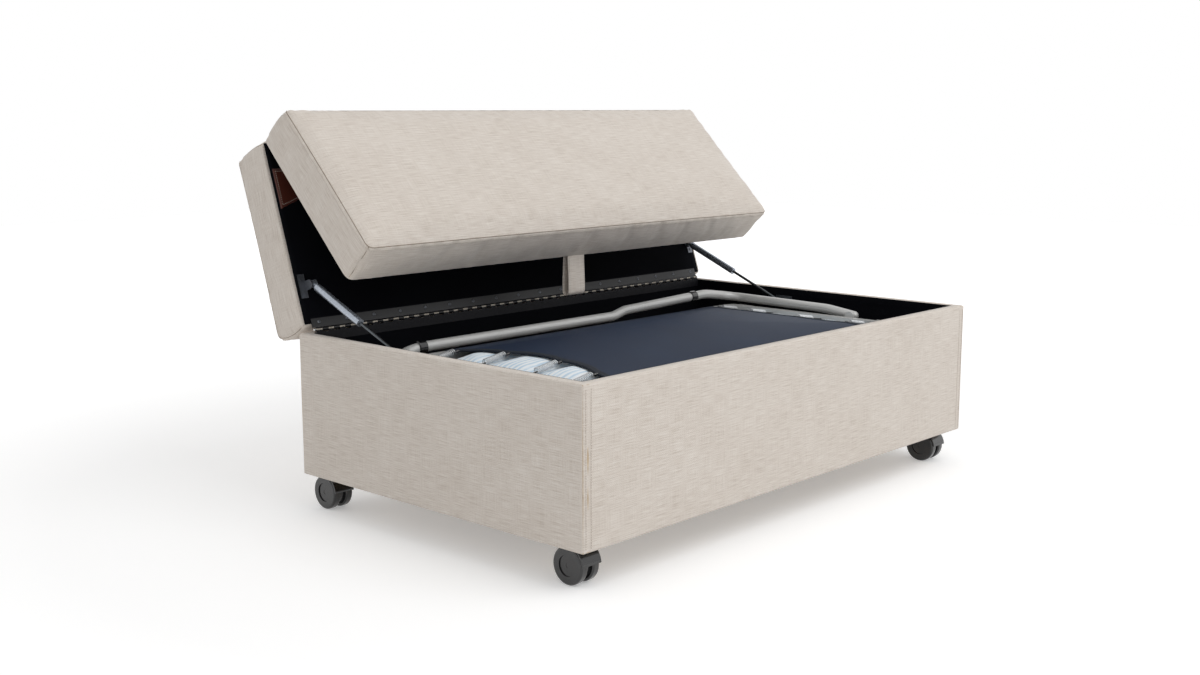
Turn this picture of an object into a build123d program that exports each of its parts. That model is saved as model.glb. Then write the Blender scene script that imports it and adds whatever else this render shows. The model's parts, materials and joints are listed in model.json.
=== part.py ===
from build123d import *
import math
import os

# A fold out ottoman guest bed: an upholstered box on casters, a two-part lid and a bed folded inside.
# Millimetres. X runs along the box, Y to the back, Z up, and the floor is at zero. Pieces are drawn
# about the middle of the box, and are saved about the middle of the whole object with its lid open.
# The lid is saved open and folded, as the object is shown, and the bed folded in the box.

# The box and its walls
box_length = 1185.0
box_width = 730.0
box_height = 270.0
caster_head_gap = 3.0
wall_board = 18.0
cover_thickness = 1.5
lining_thickness = 1.5
floor_board_thickness = 12.0
floor_board_lift = 6.0
bottom_hem_width = 12.0
cover_corner_radius = 3.0
corner_block_side = 30.0
corner_block_height = 60.0
running_gap = 0.5
cover_edge_round_share = 0.6

# The long hinge between box and lid, and the three short ones at the fold
knuckle_radius = 4.0
hinge_pin_radius = 2.0
hinge_pin_clearance = 0.05
hinge_leaf_thickness = 1.2
hinge_leaf_width = 22.0
hinge_rise = 5.5
hinge_end_setback = 22.5
knuckle_length = 13.0
knuckle_end_gap = 0.6
butt_hinge_length = 90.0
butt_hinge_places_share = (-0.36, 0.0, 0.36)
butt_knuckle_count = 5
second_side_ratio = 2

# The lid: two padded halves
lid_open_angle = 108.5
lid_fold_angle = 154.0
rear_half_length = 370.0
front_half_length = 350.0
lid_end_setback = 2.5
lid_board_thickness = 12.0
dust_cover_thickness = 1.5
dust_cover_margin = 6.0
pad_height = 93.0
pad_crown = 9.0
pad_end_bulge = 3.0
pad_front_bulge = 5.0
pad_side_draw = 2.0
pad_corner_radius = 14.0
pad_wrap = 5.0
fold_parting = 2.5
rear_edge_setback = 10.0
rear_edge_bulge = 5.0
patch_fold_gap = 50.0
patch_width = 82.0
patch_height = 78.0
patch_slant = 30.0
patch_thickness = 0.8

# The loop that the lid is pulled by
strap_width = 50.0
strap_rim_clearance = 28.0
strap_depth = 13.0
strap_ply = 2.4
strap_setback = 8.0

# Gas struts beside the bed
strut_wall_gap = 15.5
strut_eye_width = 9.0
strut_eye_radius = 8.0
strut_stud_radius = 4.0
strut_rod_radius = 3.0
strut_body_radius = 7.5
strut_body_start = 14.0
strut_body_length = 138.0
strut_rod_start = 6.0
strut_rod_length = 154.0
strut_running_clearance = 0.05
strut_open_clearance = 0.5
strut_neck_ratio = 1.6
strut_blind = 1.5
strut_collar_ratio = 1.5
strut_stud_stub = 2.5
strut_base_y = 451.0
strut_base_depth = 30.0
strut_lid_reach = 85.0
strut_lid_drop = 10.0
bracket_plate = 2.0
base_bracket_length = 44.0
base_bracket_height = 24.0
base_bracket_slot_length = 14.0
base_bracket_slot_width = 5.0
lid_bracket_length = 46.0
lid_bracket_width = 15.0
lid_bracket_lug_width = 18.0
bracket_screw_radius = 3.6
bracket_screw_head = 1.8
bracket_screw_pitch = 28.0
bracket_screw_place_share = 0.6

# Casters
caster_inset = 45.0
wheel_radius = 32.5
wheel_width = 16.0
wheel_rim_round = 4.0
wheel_hub_radius = 18.0
wheel_hub_depth = 2.0
web_half_thickness = 5.0
web_radius = 26.0
axle_trail = 13.0
axle_radius = 4.0
axle_clearance = 0.05
hood_gap = 0.9
hood_wall = 2.6
hood_start_angle = 62.0
hood_sweep_angle = 112.0
hood_wedge_steps = 6
stem_radius = 5.5
stem_clearance = 0.05
stem_rise = 11.0
stem_shoulder_radius = 9.0
caster_plate_side = 50.0
caster_plate_thickness = 2.0
caster_boss_radius = 8.0
caster_screw_spacing = 38.0
caster_screw_radius = 2.2
caster_screw_head_radius = 4.5
caster_screw_head_height = 1.6
caster_screw_length = 12.0

# The folded bed, seated between the floor of the box and its rim
bed_axis_y = 60.0
bed_floor_gap = 20.0
bed_rim_depth = 36.0
bed_side_gap = 76.5
folded_side_setback = 10.0
frame_depth = 20.0
frame_tube = 18.0
frame_corner_radius = 24.0
head_frame_reach = 10.0
head_frame_end = 560.0
folded_frame_reach = 50.0
folded_frame_end = 540.0
foot_frame_depth = 18.0
foot_frame_drop = 34.0
foot_frame_reach = 60.0
mattress_gap = 0.5
frame_inner_gap = 5.0
mattress_margin = 12.0
mattress_reach = 20.0
mattress_crown = 3.0
mattress_corner_radius = 40.0
mattress_side_draw = 4.0
mid_mattress_crown = 9.0
mid_mattress_top_gap = 6.5
deck_thickness = 1.5
deck_dome = 26.0
deck_dome_half = 430.0
deck_side_inset = 62.0
deck_side_bow = 45.0
deck_hem_overlap = 14.0

# Springs that stretch the deck from the side rails
spring_setbacks = (50.0, 163.0, 293.0, 398.0)
spring_wire = 1.6
spring_radius = 5.4
spring_turns = 12
spring_length = 50.0
spring_hook_radius = 1.6
spring_hook_length = 10.0
spring_anchor_drop = 8.0
spring_seat_gap = 0.3
spring_hem_gap = 1.0

# Hinge arms and leg of the bed
hinge_arm_thickness = 3.0
hinge_arm_width = 18.0
hinge_arm_chamfer = 12.0
bed_pin_radius = 4.0
bed_pin_clearance = 0.05
foot_link_length = 34.0
leg_tube_radius = 10.0
leg_side_gap = 20.0
leg_arm_length = 342.0
leg_height_above_frame = 1.0
leg_tube_beyond = 20.0
leg_corner_radius = 45.0
leg_step = 9.0
leg_left_reach = 65.0
leg_joggle_start = 95.0
leg_joggle_run = 35.0
leg_joggle_radius = 60.0
leg_right_start = 410.0
leg_corner_drop = 14.0
leg_arm_bend = 67.0
leg_bend_radius = 200.0
leg_ear_thickness = 3.0
leg_ear_width = 22.0

# Telescopic lift rails at both sides of the bed
rail_y = 300.0
rail_half_width = 20.0
rail_wall = 2.0
rail_depth = 14.0
rail_rim_gap = 50.0
rail_reach = 26.0
rail_inner_thickness = 4.0
rail_bracket_height = 14.0
rail_bracket_heights_share = (0.16, 0.84)
rail_floor_gap = 4.0

overrun = 5.0

# Places worked out from the sizes above
half_length = box_length / 2
half_width = box_width / 2
lid_overall_length = box_length - 2 * lid_end_setback
piano_hinge_length = box_length - 2 * hinge_end_setback
box_bottom = 2 * wheel_radius + caster_head_gap
box_top = box_bottom + box_height
board_half_length = half_length - cover_thickness
board_half_width = half_width - cover_thickness
inner_half_length = board_half_length - wall_board
inner_half_width = board_half_width - wall_board
lined_half_length = inner_half_length - lining_thickness
floor_low = box_bottom + floor_board_lift
floor_top = floor_low + floor_board_thickness
board_top = box_top - cover_thickness
lid_face_offset = knuckle_radius + dust_cover_thickness
lid_axis_y = inner_half_width - lining_thickness - hinge_leaf_thickness + knuckle_radius
lid_axis_z = box_top + hinge_rise
fold_axis_y = lid_axis_y - rear_half_length
lid_face_z = lid_axis_z + lid_face_offset
wheel_axle_z = wheel_radius
caster_x = half_length - caster_inset
caster_y = half_width - caster_inset
caster_plate_low = floor_low - caster_plate_thickness
strut_offset = lined_half_length - strut_wall_gap
axis_y = bed_axis_y - half_width
head_frame_low = floor_top + bed_floor_gap
mid_frame_high = box_top - bed_rim_depth
mid_frame_low = mid_frame_high - frame_depth
axis_z = (head_frame_low + mid_frame_high) / 2
bed_half_width = lined_half_length - bed_side_gap
folded_half_width = bed_half_width - folded_side_setback
foot_frame_low = axis_z - foot_frame_drop
foot_frame_high = foot_frame_low + foot_frame_depth
folded_near = axis_y + folded_frame_reach
folded_far = folded_frame_end - half_width
rail_y_place = rail_y - half_width
rail_low = floor_top + rail_floor_gap
rail_high = box_top - rail_rim_gap
rail_offset = bed_half_width + rail_reach
leg_arm_offset = folded_half_width + leg_side_gap


def from_front(depth):
    """Y of a place that lies this far behind the front of the box"""
    return depth - half_width


def block(x0, x1, y0, y1, z0, z1):
    size = Box(x1 - x0, y1 - y0, z1 - z0)
    return Pos((x0 + x1) / 2, (y0 + y1) / 2, (z0 + z1) / 2) * size


def round_bar(start, end, radius):
    start, end = Vector(*start), Vector(*end)
    along = Plane(origin=start, z_dir=end - start)
    return along * Cylinder(radius, (end - start).length, align=(Align.CENTER, Align.CENTER, Align.MIN))


def bar_x(x0, x1, y, z, radius):
    return round_bar((x0, y, z), (x1, y, z), radius)


def both_sides(shape):
    return [shape, mirror(shape, Plane.YZ)]


def turned(shape, y, z, degrees):
    """The shape turned about a line along X through y, z"""
    return Pos(0, y, z) * Rot(degrees, 0, 0) * Pos(0, -y, -z) * shape


def as_open_rear(shape):
    return turned(shape, lid_axis_y, lid_axis_z, -lid_open_angle)


def as_open_front(shape):
    return as_open_rear(turned(shape, fold_axis_y, lid_axis_z, lid_fold_angle))


def save(name, *shapes):
    """Writes a node, with the origin under the middle of the whole object as it stands open"""
    solids = [Pos(0, -origin_y, 0) * solid for shape in shapes for solid in shape.solids()]
    export_step(Compound(children=solids) if len(solids) > 1 else solids[0], f"parts/{name}.step")


# Boards, cover and lining of the box


def box_boards():
    front = block(-board_half_length, board_half_length, -board_half_width, -inner_half_width,
                  box_bottom + cover_thickness, board_top)
    left = block(-board_half_length, -inner_half_length, -inner_half_width, inner_half_width,
                 box_bottom + cover_thickness, board_top)
    save("base_front_board", front)
    save("base_rear_board", mirror(front, Plane.XZ))
    save("base_left_board", left)
    save("base_right_board", mirror(left, Plane.YZ))
    floor = block(-inner_half_length, inner_half_length, -inner_half_width, inner_half_width, floor_low, floor_top)
    for x, y in caster_places():
        boss = Pos(x, y, floor_low) * Cylinder(
            caster_boss_radius, stem_rise, align=(Align.CENTER, Align.CENTER, Align.MIN))
        floor -= boss
        for sx, sy in caster_screw_places(x, y):
            floor -= round_bar((sx, sy, floor_low - overrun), (sx, sy, floor_low + caster_screw_length
                               - caster_plate_thickness), caster_screw_radius)
    save("base_floor_board", floor)


def corner_blocks():
    one = block(lined_half_length - corner_block_side, lined_half_length,
                inner_half_width - lining_thickness - corner_block_side, inner_half_width - lining_thickness,
                floor_top, floor_top + corner_block_height)
    right = [one, mirror(one, Plane.XZ)]
    save("base_corner_blocks", *right, *[mirror(shape, Plane.YZ) for shape in right])


def base_cover():
    outer = block(-half_length, half_length, -half_width, half_width, box_bottom, box_top)
    outer = fillet(outer.edges().filter_by(Axis.Z), cover_corner_radius)
    outer = fillet(outer.edges().group_by(Axis.Z)[-1], cover_thickness * cover_edge_round_share)
    walls = block(-board_half_length, board_half_length, -board_half_width, board_half_width,
                  box_bottom + cover_thickness, board_top)
    mouth = block(-inner_half_length, inner_half_length, -inner_half_width, inner_half_width,
                  box_bottom + overrun, box_top + overrun)
    under = block(-board_half_length + bottom_hem_width, board_half_length - bottom_hem_width,
                  -board_half_width + bottom_hem_width, board_half_width - bottom_hem_width,
                  box_bottom - overrun, box_bottom + cover_thickness + overrun)
    save("base_cover", outer - walls - mouth - under)


def base_lining():
    outer = block(-inner_half_length, inner_half_length, -inner_half_width, inner_half_width, floor_top, box_top)
    inner = block(-lined_half_length, lined_half_length, -inner_half_width + lining_thickness,
                  inner_half_width - lining_thickness, floor_top - overrun, box_top + overrun)
    save("base_lining", outer - inner)


# Hinges


def knuckles(length, x_centre, y, z, first, piece):
    """Every second knuckle of a hinge, from the first or the second place"""
    rings = []
    count = int(length // piece)
    start = x_centre - count * piece / 2
    for place in range(first, count, second_side_ratio):
        x0 = start + place * piece + knuckle_end_gap / 2
        ring = bar_x(x0, x0 + piece - knuckle_end_gap, y, z, knuckle_radius)
        ring -= bar_x(x0 - overrun, x0 + piece + overrun, y, z, hinge_pin_radius + hinge_pin_clearance)
        rings.append((x0, x0 + piece - knuckle_end_gap, ring))
    return rings


def leaf(length, x_centre, y, z, first, piece, upright):
    """One leaf: a strip with tabs up to its own knuckles"""
    near = knuckle_radius + running_gap
    low, high = knuckle_radius - hinge_leaf_thickness, knuckle_radius
    x0, x1 = x_centre - length / 2, x_centre + length / 2
    if upright:
        strip = block(x0, x1, y - high, y - low, z - hinge_leaf_width, z - near)
    else:
        strip = block(x0, x1, y - hinge_leaf_width, y - near, z + low, z + high)
    for start, end, ring in knuckles(length, x_centre, y, z, first, piece):
        if upright:
            tab = block(start, end, y - high, y - low, z - near, z)
        else:
            tab = block(start, end, y - near, y, z + low, z + high)
        bore = bar_x(start - overrun, end + overrun, y, z, hinge_pin_radius + hinge_pin_clearance)
        strip += ring + (tab - bore)
    return strip


def lid_hinge():
    place = (piano_hinge_length, 0, lid_axis_y, lid_axis_z)
    save("base_hinge_leaf", leaf(*place, 0, knuckle_length, True))
    save("lid_rear_hinge_leaf", as_open_rear(leaf(*place, 1, knuckle_length, False)))
    return bar_x(-piano_hinge_length / 2, piano_hinge_length / 2, lid_axis_y, lid_axis_z, hinge_pin_radius)


def fold_hinges():
    rear, front, pins = [], [], []
    piece = butt_hinge_length / butt_knuckle_count
    for share in butt_hinge_places_share:
        place = (butt_hinge_length, share * lid_overall_length, fold_axis_y, lid_axis_z)
        front.append(as_open_front(leaf(*place, 1, piece, False)))
        other = leaf(butt_hinge_length, share * lid_overall_length, -fold_axis_y, lid_axis_z, 0, piece, False)
        rear.append(as_open_rear(mirror(other, Plane.XZ)))
        pin = bar_x(place[1] - butt_hinge_length / 2, place[1] + butt_hinge_length / 2, fold_axis_y, lid_axis_z,
                    hinge_pin_radius)
        pins.append(as_open_rear(pin))
    save("fold_hinge_rear_leaves", *rear)
    save("fold_hinge_front_leaves", *front)
    save("hinge_pins", *pins, lid_hinge())


# Lid


def cushion(x_half, outline, crown, y0, y1, z0, z1, draw, corner):
    """A boxed cushion: a side outline along X, crowned along X too, with drawn-in sides and round corners"""
    body = extrude(Plane.YZ * outline, x_half + pad_end_bulge, both=True)
    middle = (z0 + z1) / 2
    top = z1 + crown
    ends = make_face(Wire([
        Line((-x_half, z0), (x_half, z0)),
        ThreePointArc((x_half, z0), (x_half + pad_end_bulge, middle), (x_half, z1)),
        ThreePointArc((x_half, z1), (0, top), (-x_half, z1)),
        ThreePointArc((-x_half, z1), (-x_half - pad_end_bulge, middle), (-x_half, z0)),
    ]))
    body &= extrude(Plane.XZ * ends, abs(y0) + abs(y1) + box_width, both=True)
    centre = (y0 + y1) / 2
    reach = x_half + pad_end_bulge
    plan = make_face(Wire([
        ThreePointArc((-reach, y0), (0, y0 + draw), (reach, y0)),
        ThreePointArc((reach, y0), (reach - draw, centre), (reach, y1)),
        ThreePointArc((reach, y1), (0, y1 - draw), (-reach, y1)),
        ThreePointArc((-reach, y1), (-reach + draw, centre), (-reach, y0)),
    ]))
    post = Pos(0, 0, z0 - overrun) * extrude(plan, top - z0 + overrun * 2)
    post = fillet(post.edges().filter_by(Axis.Z), corner)
    return body & post


def rear_pad():
    """The closed rear half: its board and its pad"""
    near = fold_axis_y + fold_parting / 2
    edge = lid_axis_y - rear_edge_setback
    top = lid_face_z + pad_height
    outline = make_face(Wire([
        Line((near, lid_face_z), (edge, lid_face_z)),
        ThreePointArc((edge, lid_face_z), (lid_axis_y + rear_edge_bulge, lid_face_z + pad_height / 2),
                      (lid_axis_y - pad_side_draw, top)),
        ThreePointArc((lid_axis_y - pad_side_draw, top), ((near + lid_axis_y) / 2, top + pad_crown), (near, top)),
        Line((near, top), (near, lid_face_z)),
    ]))
    board_x = lid_overall_length / 2 - pad_wrap
    board = block(-board_x, board_x, near + pad_wrap, edge - pad_wrap, lid_face_z,
                  lid_face_z + lid_board_thickness)
    pad = cushion(lid_overall_length / 2, outline, pad_crown, near, lid_axis_y + rear_edge_bulge, lid_face_z,
                  top, pad_side_draw, pad_corner_radius) - board
    return board, pad


def lid_rear():
    board, pad = rear_pad()
    near = fold_axis_y + fold_parting / 2
    board_x = lid_overall_length / 2 - pad_wrap
    dust = block(-board_x + dust_cover_margin, board_x - dust_cover_margin, near + pad_wrap,
                 lid_axis_y - rear_edge_setback - pad_wrap, lid_face_z - dust_cover_thickness, lid_face_z)
    save("lid_rear_board", as_open_rear(board))
    save("lid_rear_pad", as_open_rear(pad))
    save("lid_rear_dust_cover", as_open_rear(dust))
    low = lid_face_z - dust_cover_thickness
    end = board_x - dust_cover_margin
    start = near + pad_wrap + patch_fold_gap
    sheet = make_face(Polyline((-end, start), (-end, start + patch_height), (-end + patch_width,
                      start + patch_height - patch_slant), (-end + patch_width, start), close=True))
    patch = Pos(0, 0, low - patch_thickness) * extrude(sheet, patch_thickness)
    patches = [as_open_rear(shape) for shape in both_sides(patch)]
    save("fold_reinforcement_patches", *patches)


def lid_front():
    near = fold_axis_y - fold_parting / 2
    far = fold_axis_y - front_half_length
    top = lid_face_z + pad_height
    outline = make_face(Wire([
        Line((far, lid_face_z), (near, lid_face_z)),
        Line((near, lid_face_z), (near, top)),
        ThreePointArc((near, top), ((near + far) / 2, top + pad_crown), (far, top)),
        ThreePointArc((far, top), (far - pad_front_bulge, lid_face_z + pad_height / 2), (far, lid_face_z)),
    ]))
    board_x = lid_overall_length / 2 - pad_wrap
    board = block(-board_x, board_x, far + pad_wrap, near - pad_wrap, lid_face_z,
                  lid_face_z + lid_board_thickness)
    pad = cushion(lid_overall_length / 2, outline, pad_crown, far - pad_front_bulge, near, lid_face_z, top,
                  pad_side_draw, pad_corner_radius) - board
    dust = block(-board_x + dust_cover_margin, board_x - dust_cover_margin, far + pad_wrap
                 + dust_cover_margin, near - pad_wrap, lid_face_z - dust_cover_thickness, lid_face_z)
    save("lid_front_board", as_open_front(board))
    save("lid_front_pad", as_open_front(pad))
    save("lid_front_dust_cover", as_open_front(dust))
    hang = as_open_front(Pos(0, far + strap_setback, lid_face_z) * Vertex(0, 0, 0)).center()
    pull_strap(hang.Y, hang.Z)
    print("strap", round(hang.Y, 3), round(hang.Z, 3))


def pull_strap(y, z):
    """A loop of two plies that hangs straight down, sewn in under the front edge"""
    half = strap_depth / 2
    low = box_top + strap_rim_clearance
    reach = half - strap_ply
    outer = block(-strap_width / 2, strap_width / 2, y - half, y + half, low + half, z - strap_ply)
    outer += bar_x(-strap_width / 2, strap_width / 2, y, low + half, half)
    hollow = block(-strap_width, strap_width, y - reach, y + reach, low + half, z - strap_depth)
    hollow += bar_x(-strap_width, strap_width, y, low + half, reach)
    loop = outer - hollow
    trim = as_open_front(block(-strap_width, strap_width, fold_axis_y - box_width, fold_axis_y,
                               lid_face_z, lid_face_z + pad_height))
    save("pull_strap", loop - trim)


# Gas struts


def strut_ends():
    """The two pivots of a strut with the lid open"""
    low = Vector(0, from_front(strut_base_y), box_top - strut_base_depth)
    closed = (lid_axis_y - strut_lid_reach, lid_axis_z - strut_lid_drop)
    high = as_open_rear(Pos(0, *closed) * Vertex(0, 0, 0)).center()
    return low, Vector(0, high.Y, high.Z)


def struts():
    low, high = strut_ends()
    along = (high - low).normalized()
    length = (high - low).length
    eye_low = strut_offset - strut_eye_width / 2
    eye_high = strut_offset + strut_eye_width / 2
    centre = Vector(strut_offset, 0, 0)
    stud_bore = strut_stud_radius + strut_running_clearance
    rod = bar_x(eye_low, eye_high, low.Y, low.Z, strut_eye_radius)
    start, end = centre + low + along * strut_rod_start, centre + low + along * (strut_rod_start + strut_rod_length)
    rod += round_bar(start, end, strut_rod_radius)
    rod -= bar_x(eye_low - overrun, eye_high + overrun, low.Y, low.Z, strut_stud_radius + strut_open_clearance)
    mouth = length - strut_body_start - strut_body_length
    top, bottom = centre + low + along * (length - strut_body_start), centre + low + along * mouth
    body = round_bar(bottom, top, strut_body_radius)
    body += bar_x(eye_low, eye_high, high.Y, high.Z, strut_eye_radius)
    body += round_bar(top - along, centre + high, strut_rod_radius * strut_neck_ratio)
    bore_top = centre + low + along * (length - strut_body_start - strut_blind)
    body -= round_bar(bottom - along * overrun, bore_top, strut_rod_radius + strut_running_clearance)
    body -= bar_x(eye_low - overrun, eye_high + overrun, high.Y, high.Z, stud_bore)
    for side, rod_piece in zip(("right", "left"), both_sides(rod)):
        save(f"{side}_strut_rod", rod_piece)
    for side, body_piece in zip(("right", "left"), both_sides(body)):
        save(f"{side}_strut_cylinder", body_piece)
    print("strut open length", round(length, 2), "angle", round(math.degrees(math.atan2(along.Z, along.Y)), 3))
    closed_y, closed_z = lid_axis_y - strut_lid_reach, lid_axis_z - strut_lid_drop
    rise, run = closed_z - low.Z, closed_y - low.Y
    print("strut closed length", round(math.hypot(rise, run), 2), "angle",
          round(math.degrees(math.atan2(rise, run)), 3))


def strut_brackets():
    low, high = strut_ends()
    eye_low = strut_offset - strut_eye_width / 2
    eye_high = strut_offset + strut_eye_width / 2
    plate_inner = lined_half_length - bracket_plate
    plate = block(plate_inner, lined_half_length, low.Y - base_bracket_length / 2, low.Y + base_bracket_length / 2,
                  low.Z - base_bracket_height / 2, low.Z + base_bracket_height / 2)
    for way in (-1, 1):
        slot_y = low.Y + way * (base_bracket_length - base_bracket_slot_length) / 2 - way * bracket_plate
        plate -= block(plate_inner - overrun, lined_half_length + overrun,
                       slot_y - base_bracket_slot_length / 2 + bracket_plate,
                       slot_y + base_bracket_slot_length / 2 - bracket_plate,
                       low.Z - base_bracket_slot_width / 2, low.Z + base_bracket_slot_width / 2)
    plate += bar_x(eye_high + strut_open_clearance, plate_inner + bracket_plate / 2, low.Y, low.Z,
                   strut_stud_radius * strut_collar_ratio)
    save("strut_base_brackets", *both_sides(plate))
    y, z = lid_axis_y - strut_lid_reach, lid_axis_z - strut_lid_drop
    lug_low = eye_high + strut_open_clearance + strut_stud_stub
    face = lid_face_z - dust_cover_thickness
    foot = block(lug_low, lug_low + lid_bracket_width, y - lid_bracket_length / 2, y + lid_bracket_length / 2,
                 face - bracket_plate, face)
    lug = block(lug_low, lug_low + bracket_plate, y - lid_bracket_lug_width / 2, y + lid_bracket_lug_width / 2,
                z, face)
    lug += bar_x(lug_low, lug_low + bracket_plate, y, z, lid_bracket_lug_width / 2)
    stud = bar_x(eye_low, lug_low + bracket_plate, y, z, strut_stud_radius)
    bracket = foot + lug + stud
    for way in (-1, 1):
        x = lug_low + lid_bracket_width * bracket_screw_place_share
        bracket += round_bar((x, y + way * bracket_screw_pitch / 2, face - bracket_plate - bracket_screw_head),
                             (x, y + way * bracket_screw_pitch / 2, face), bracket_screw_radius)
    save("strut_lid_brackets", *[as_open_rear(shape) for shape in both_sides(bracket)])


# Casters


def caster_places():
    return [(x, y) for x in (-caster_x, caster_x) for y in (-caster_y, caster_y)]


def caster_screw_places(x, y):
    reach = caster_screw_spacing / 2
    return [(x + i * reach, y + j * reach) for i in (-1, 1) for j in (-1, 1)]


def caster_names():
    return ["front_left", "rear_left", "front_right", "rear_right"]


def hood(x, y):
    """Web between the wheels, a shell over their front, the pressed-in axle and the swivel stem"""
    axle_y = y + axle_trail
    inner = wheel_radius + hood_gap
    outer = inner + hood_wall
    half = web_half_thickness + running_gap + wheel_width
    tube = bar_x(x - half, x + half, axle_y, wheel_axle_z, outer)
    tube -= bar_x(x - half - overrun, x + half + overrun, axle_y, wheel_axle_z, inner)
    web = bar_x(x - web_half_thickness, x + web_half_thickness, axle_y, wheel_axle_z, inner + hood_wall / 2)
    wedge = make_face(Polyline((0, 0), *[
        (2 * outer * math.cos(math.radians(hood_start_angle + hood_sweep_angle * step / hood_wedge_steps)),
         2 * outer * math.sin(math.radians(hood_start_angle + hood_sweep_angle * step / hood_wedge_steps)))
        for step in range(hood_wedge_steps + 1)], close=True))
    sector = Pos(0, axle_y, wheel_axle_z) * extrude(Plane.YZ * wedge, 2 * half + overrun, both=True)
    sector = Pos(x, 0, 0) * sector
    shell = (tube + web) & sector
    shell += bar_x(x - web_half_thickness, x + web_half_thickness, axle_y, wheel_axle_z, web_radius)
    post = Pos(x, y, wheel_axle_z) * Cylinder(
        web_half_thickness, caster_plate_low - running_gap - wheel_axle_z,
        align=(Align.CENTER, Align.CENTER, Align.MIN))
    shoulder_low = wheel_axle_z + outer - hood_wall
    post += Pos(x, y, shoulder_low) * Cylinder(
        stem_shoulder_radius, caster_plate_low - running_gap - shoulder_low,
        align=(Align.CENTER, Align.CENTER, Align.MIN)) & block(
        x - half, x + half, y - half, axle_y, shoulder_low, caster_plate_low)
    post += Pos(x, y, shoulder_low) * Cylinder(
        stem_radius, floor_low + stem_rise - running_gap * 2 - shoulder_low,
        align=(Align.CENTER, Align.CENTER, Align.MIN))
    clear = bar_x(x + web_half_thickness, x + half + overrun, axle_y, wheel_axle_z, inner)
    clear += bar_x(x - half - overrun, x - web_half_thickness, axle_y, wheel_axle_z, inner)
    body = shell + (post - clear)
    reach = half - wheel_hub_depth - running_gap
    return body + bar_x(x - reach, x + reach, axle_y, wheel_axle_z, axle_radius)


def wheel(x, y, way):
    """One wheel of a pair, with round rim edges and a shallow dish outside"""
    axle_y = y + axle_trail
    near = x + way * (web_half_thickness + running_gap)
    far = near + way * wheel_width
    tyre = bar_x(min(near, far), max(near, far), axle_y, wheel_axle_z, wheel_radius)
    tyre = fillet(tyre.edges().filter_by(GeomType.CIRCLE), wheel_rim_round)
    dish = bar_x(far - way * wheel_hub_depth, far + way * overrun, axle_y, wheel_axle_z, wheel_hub_radius)
    bore = bar_x(x - wheel_width * 2, x + wheel_width * 2, axle_y, wheel_axle_z, axle_radius + axle_clearance)
    return tyre - dish - bore


def casters():
    plates, screws = [], []
    for name, (x, y) in zip(caster_names(), caster_places()):
        save(f"{name}_caster_hood", hood(x, y))
        save(f"{name}_outer_wheel", wheel(x, y, 1 if x > 0 else -1))
        save(f"{name}_inner_wheel", wheel(x, y, -1 if x > 0 else 1))
        side = caster_plate_side / 2
        plate = block(x - side, x + side, y - side, y + side, caster_plate_low, floor_low)
        plate += Pos(x, y, floor_low) * Cylinder(
            caster_boss_radius, stem_rise, align=(Align.CENTER, Align.CENTER, Align.MIN))
        plate -= round_bar((x, y, caster_plate_low - overrun), (x, y, floor_low + stem_rise - running_gap),
                           stem_radius + stem_clearance)
        for sx, sy in caster_screw_places(x, y):
            plate -= round_bar((sx, sy, caster_plate_low - overrun), (sx, sy, floor_low + overrun),
                               caster_screw_radius)
            screw = round_bar((sx, sy, caster_plate_low), (sx, sy, caster_plate_low + caster_screw_length),
                              caster_screw_radius)
            screw += round_bar((sx, sy, caster_plate_low - caster_screw_head_height),
                               (sx, sy, caster_plate_low), caster_screw_head_radius)
            screws.append(screw)
        plates.append(plate)
    save("caster_plates", *plates)
    save("caster_plate_screws", *screws)


# Bed


def ring_frame(half_x, y0, y1, z0, depth):
    """A closed frame of square tube with round outer corners"""
    outer = Pos(0, (y0 + y1) / 2, z0) * extrude(
        RectangleRounded(2 * half_x, y1 - y0, frame_corner_radius), depth)
    inner = Pos(0, (y0 + y1) / 2, z0 - overrun) * extrude(
        RectangleRounded(2 * (half_x - frame_tube), y1 - y0 - 2 * frame_tube, frame_corner_radius - frame_tube),
        depth + 2 * overrun)
    return outer - inner


def mattress(half_x, y0, y1, z0, z1, crown=mattress_crown):
    outline = make_face(Wire([
        Line((y0, z0), (y1, z0)),
        Line((y1, z0), (y1, z1 - crown)),
        ThreePointArc((y1, z1 - crown), ((y0 + y1) / 2, z1), (y0, z1 - crown)),
        Line((y0, z1 - crown), (y0, z0)),
    ]))
    return cushion(half_x - pad_end_bulge, outline, crown, y0, y1, z0, z1 - crown,
                   mattress_side_draw, mattress_corner_radius)


def deck(half_x, y0, y1, z0):
    """A stretched sheet that fills a frame of this outline"""
    outline = RectangleRounded(2 * (half_x - frame_tube), y1 - y0 - 2 * frame_tube, frame_corner_radius - frame_tube)
    return Pos(0, (y0 + y1) / 2, z0) * extrude(outline, deck_thickness)


def head_section():
    near = axis_y + head_frame_reach
    far = from_front(head_frame_end)
    save("head_frame", ring_frame(bed_half_width, near, far, head_frame_low, frame_depth))
    save("head_deck", deck(bed_half_width, near, far, head_frame_low + frame_depth / 2))
    save("head_mattress", mattress(bed_half_width - mattress_margin, axis_y + mattress_reach,
                                   far + mattress_gap, head_frame_low + frame_depth + mattress_gap,
                                   foot_frame_low - mattress_gap * 2))


def foot_section():
    near = axis_y + foot_frame_reach
    save("foot_frame", ring_frame(folded_half_width, near, folded_far, foot_frame_low, foot_frame_depth))
    save("foot_deck", deck(folded_half_width, near, folded_far, foot_frame_low + foot_frame_depth / 2))
    middle = (foot_frame_high + mid_frame_low) / 2
    save("foot_mattress", mattress(folded_half_width - mattress_margin, near, folded_far,
                                   foot_frame_high + mattress_gap, middle - mattress_gap))
    inset = frame_tube + frame_inner_gap
    save("mid_mattress", mattress(folded_half_width - inset, folded_near + inset, folded_far - inset, middle,
                                  mid_frame_high - mid_mattress_top_gap, mid_mattress_crown))


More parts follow.
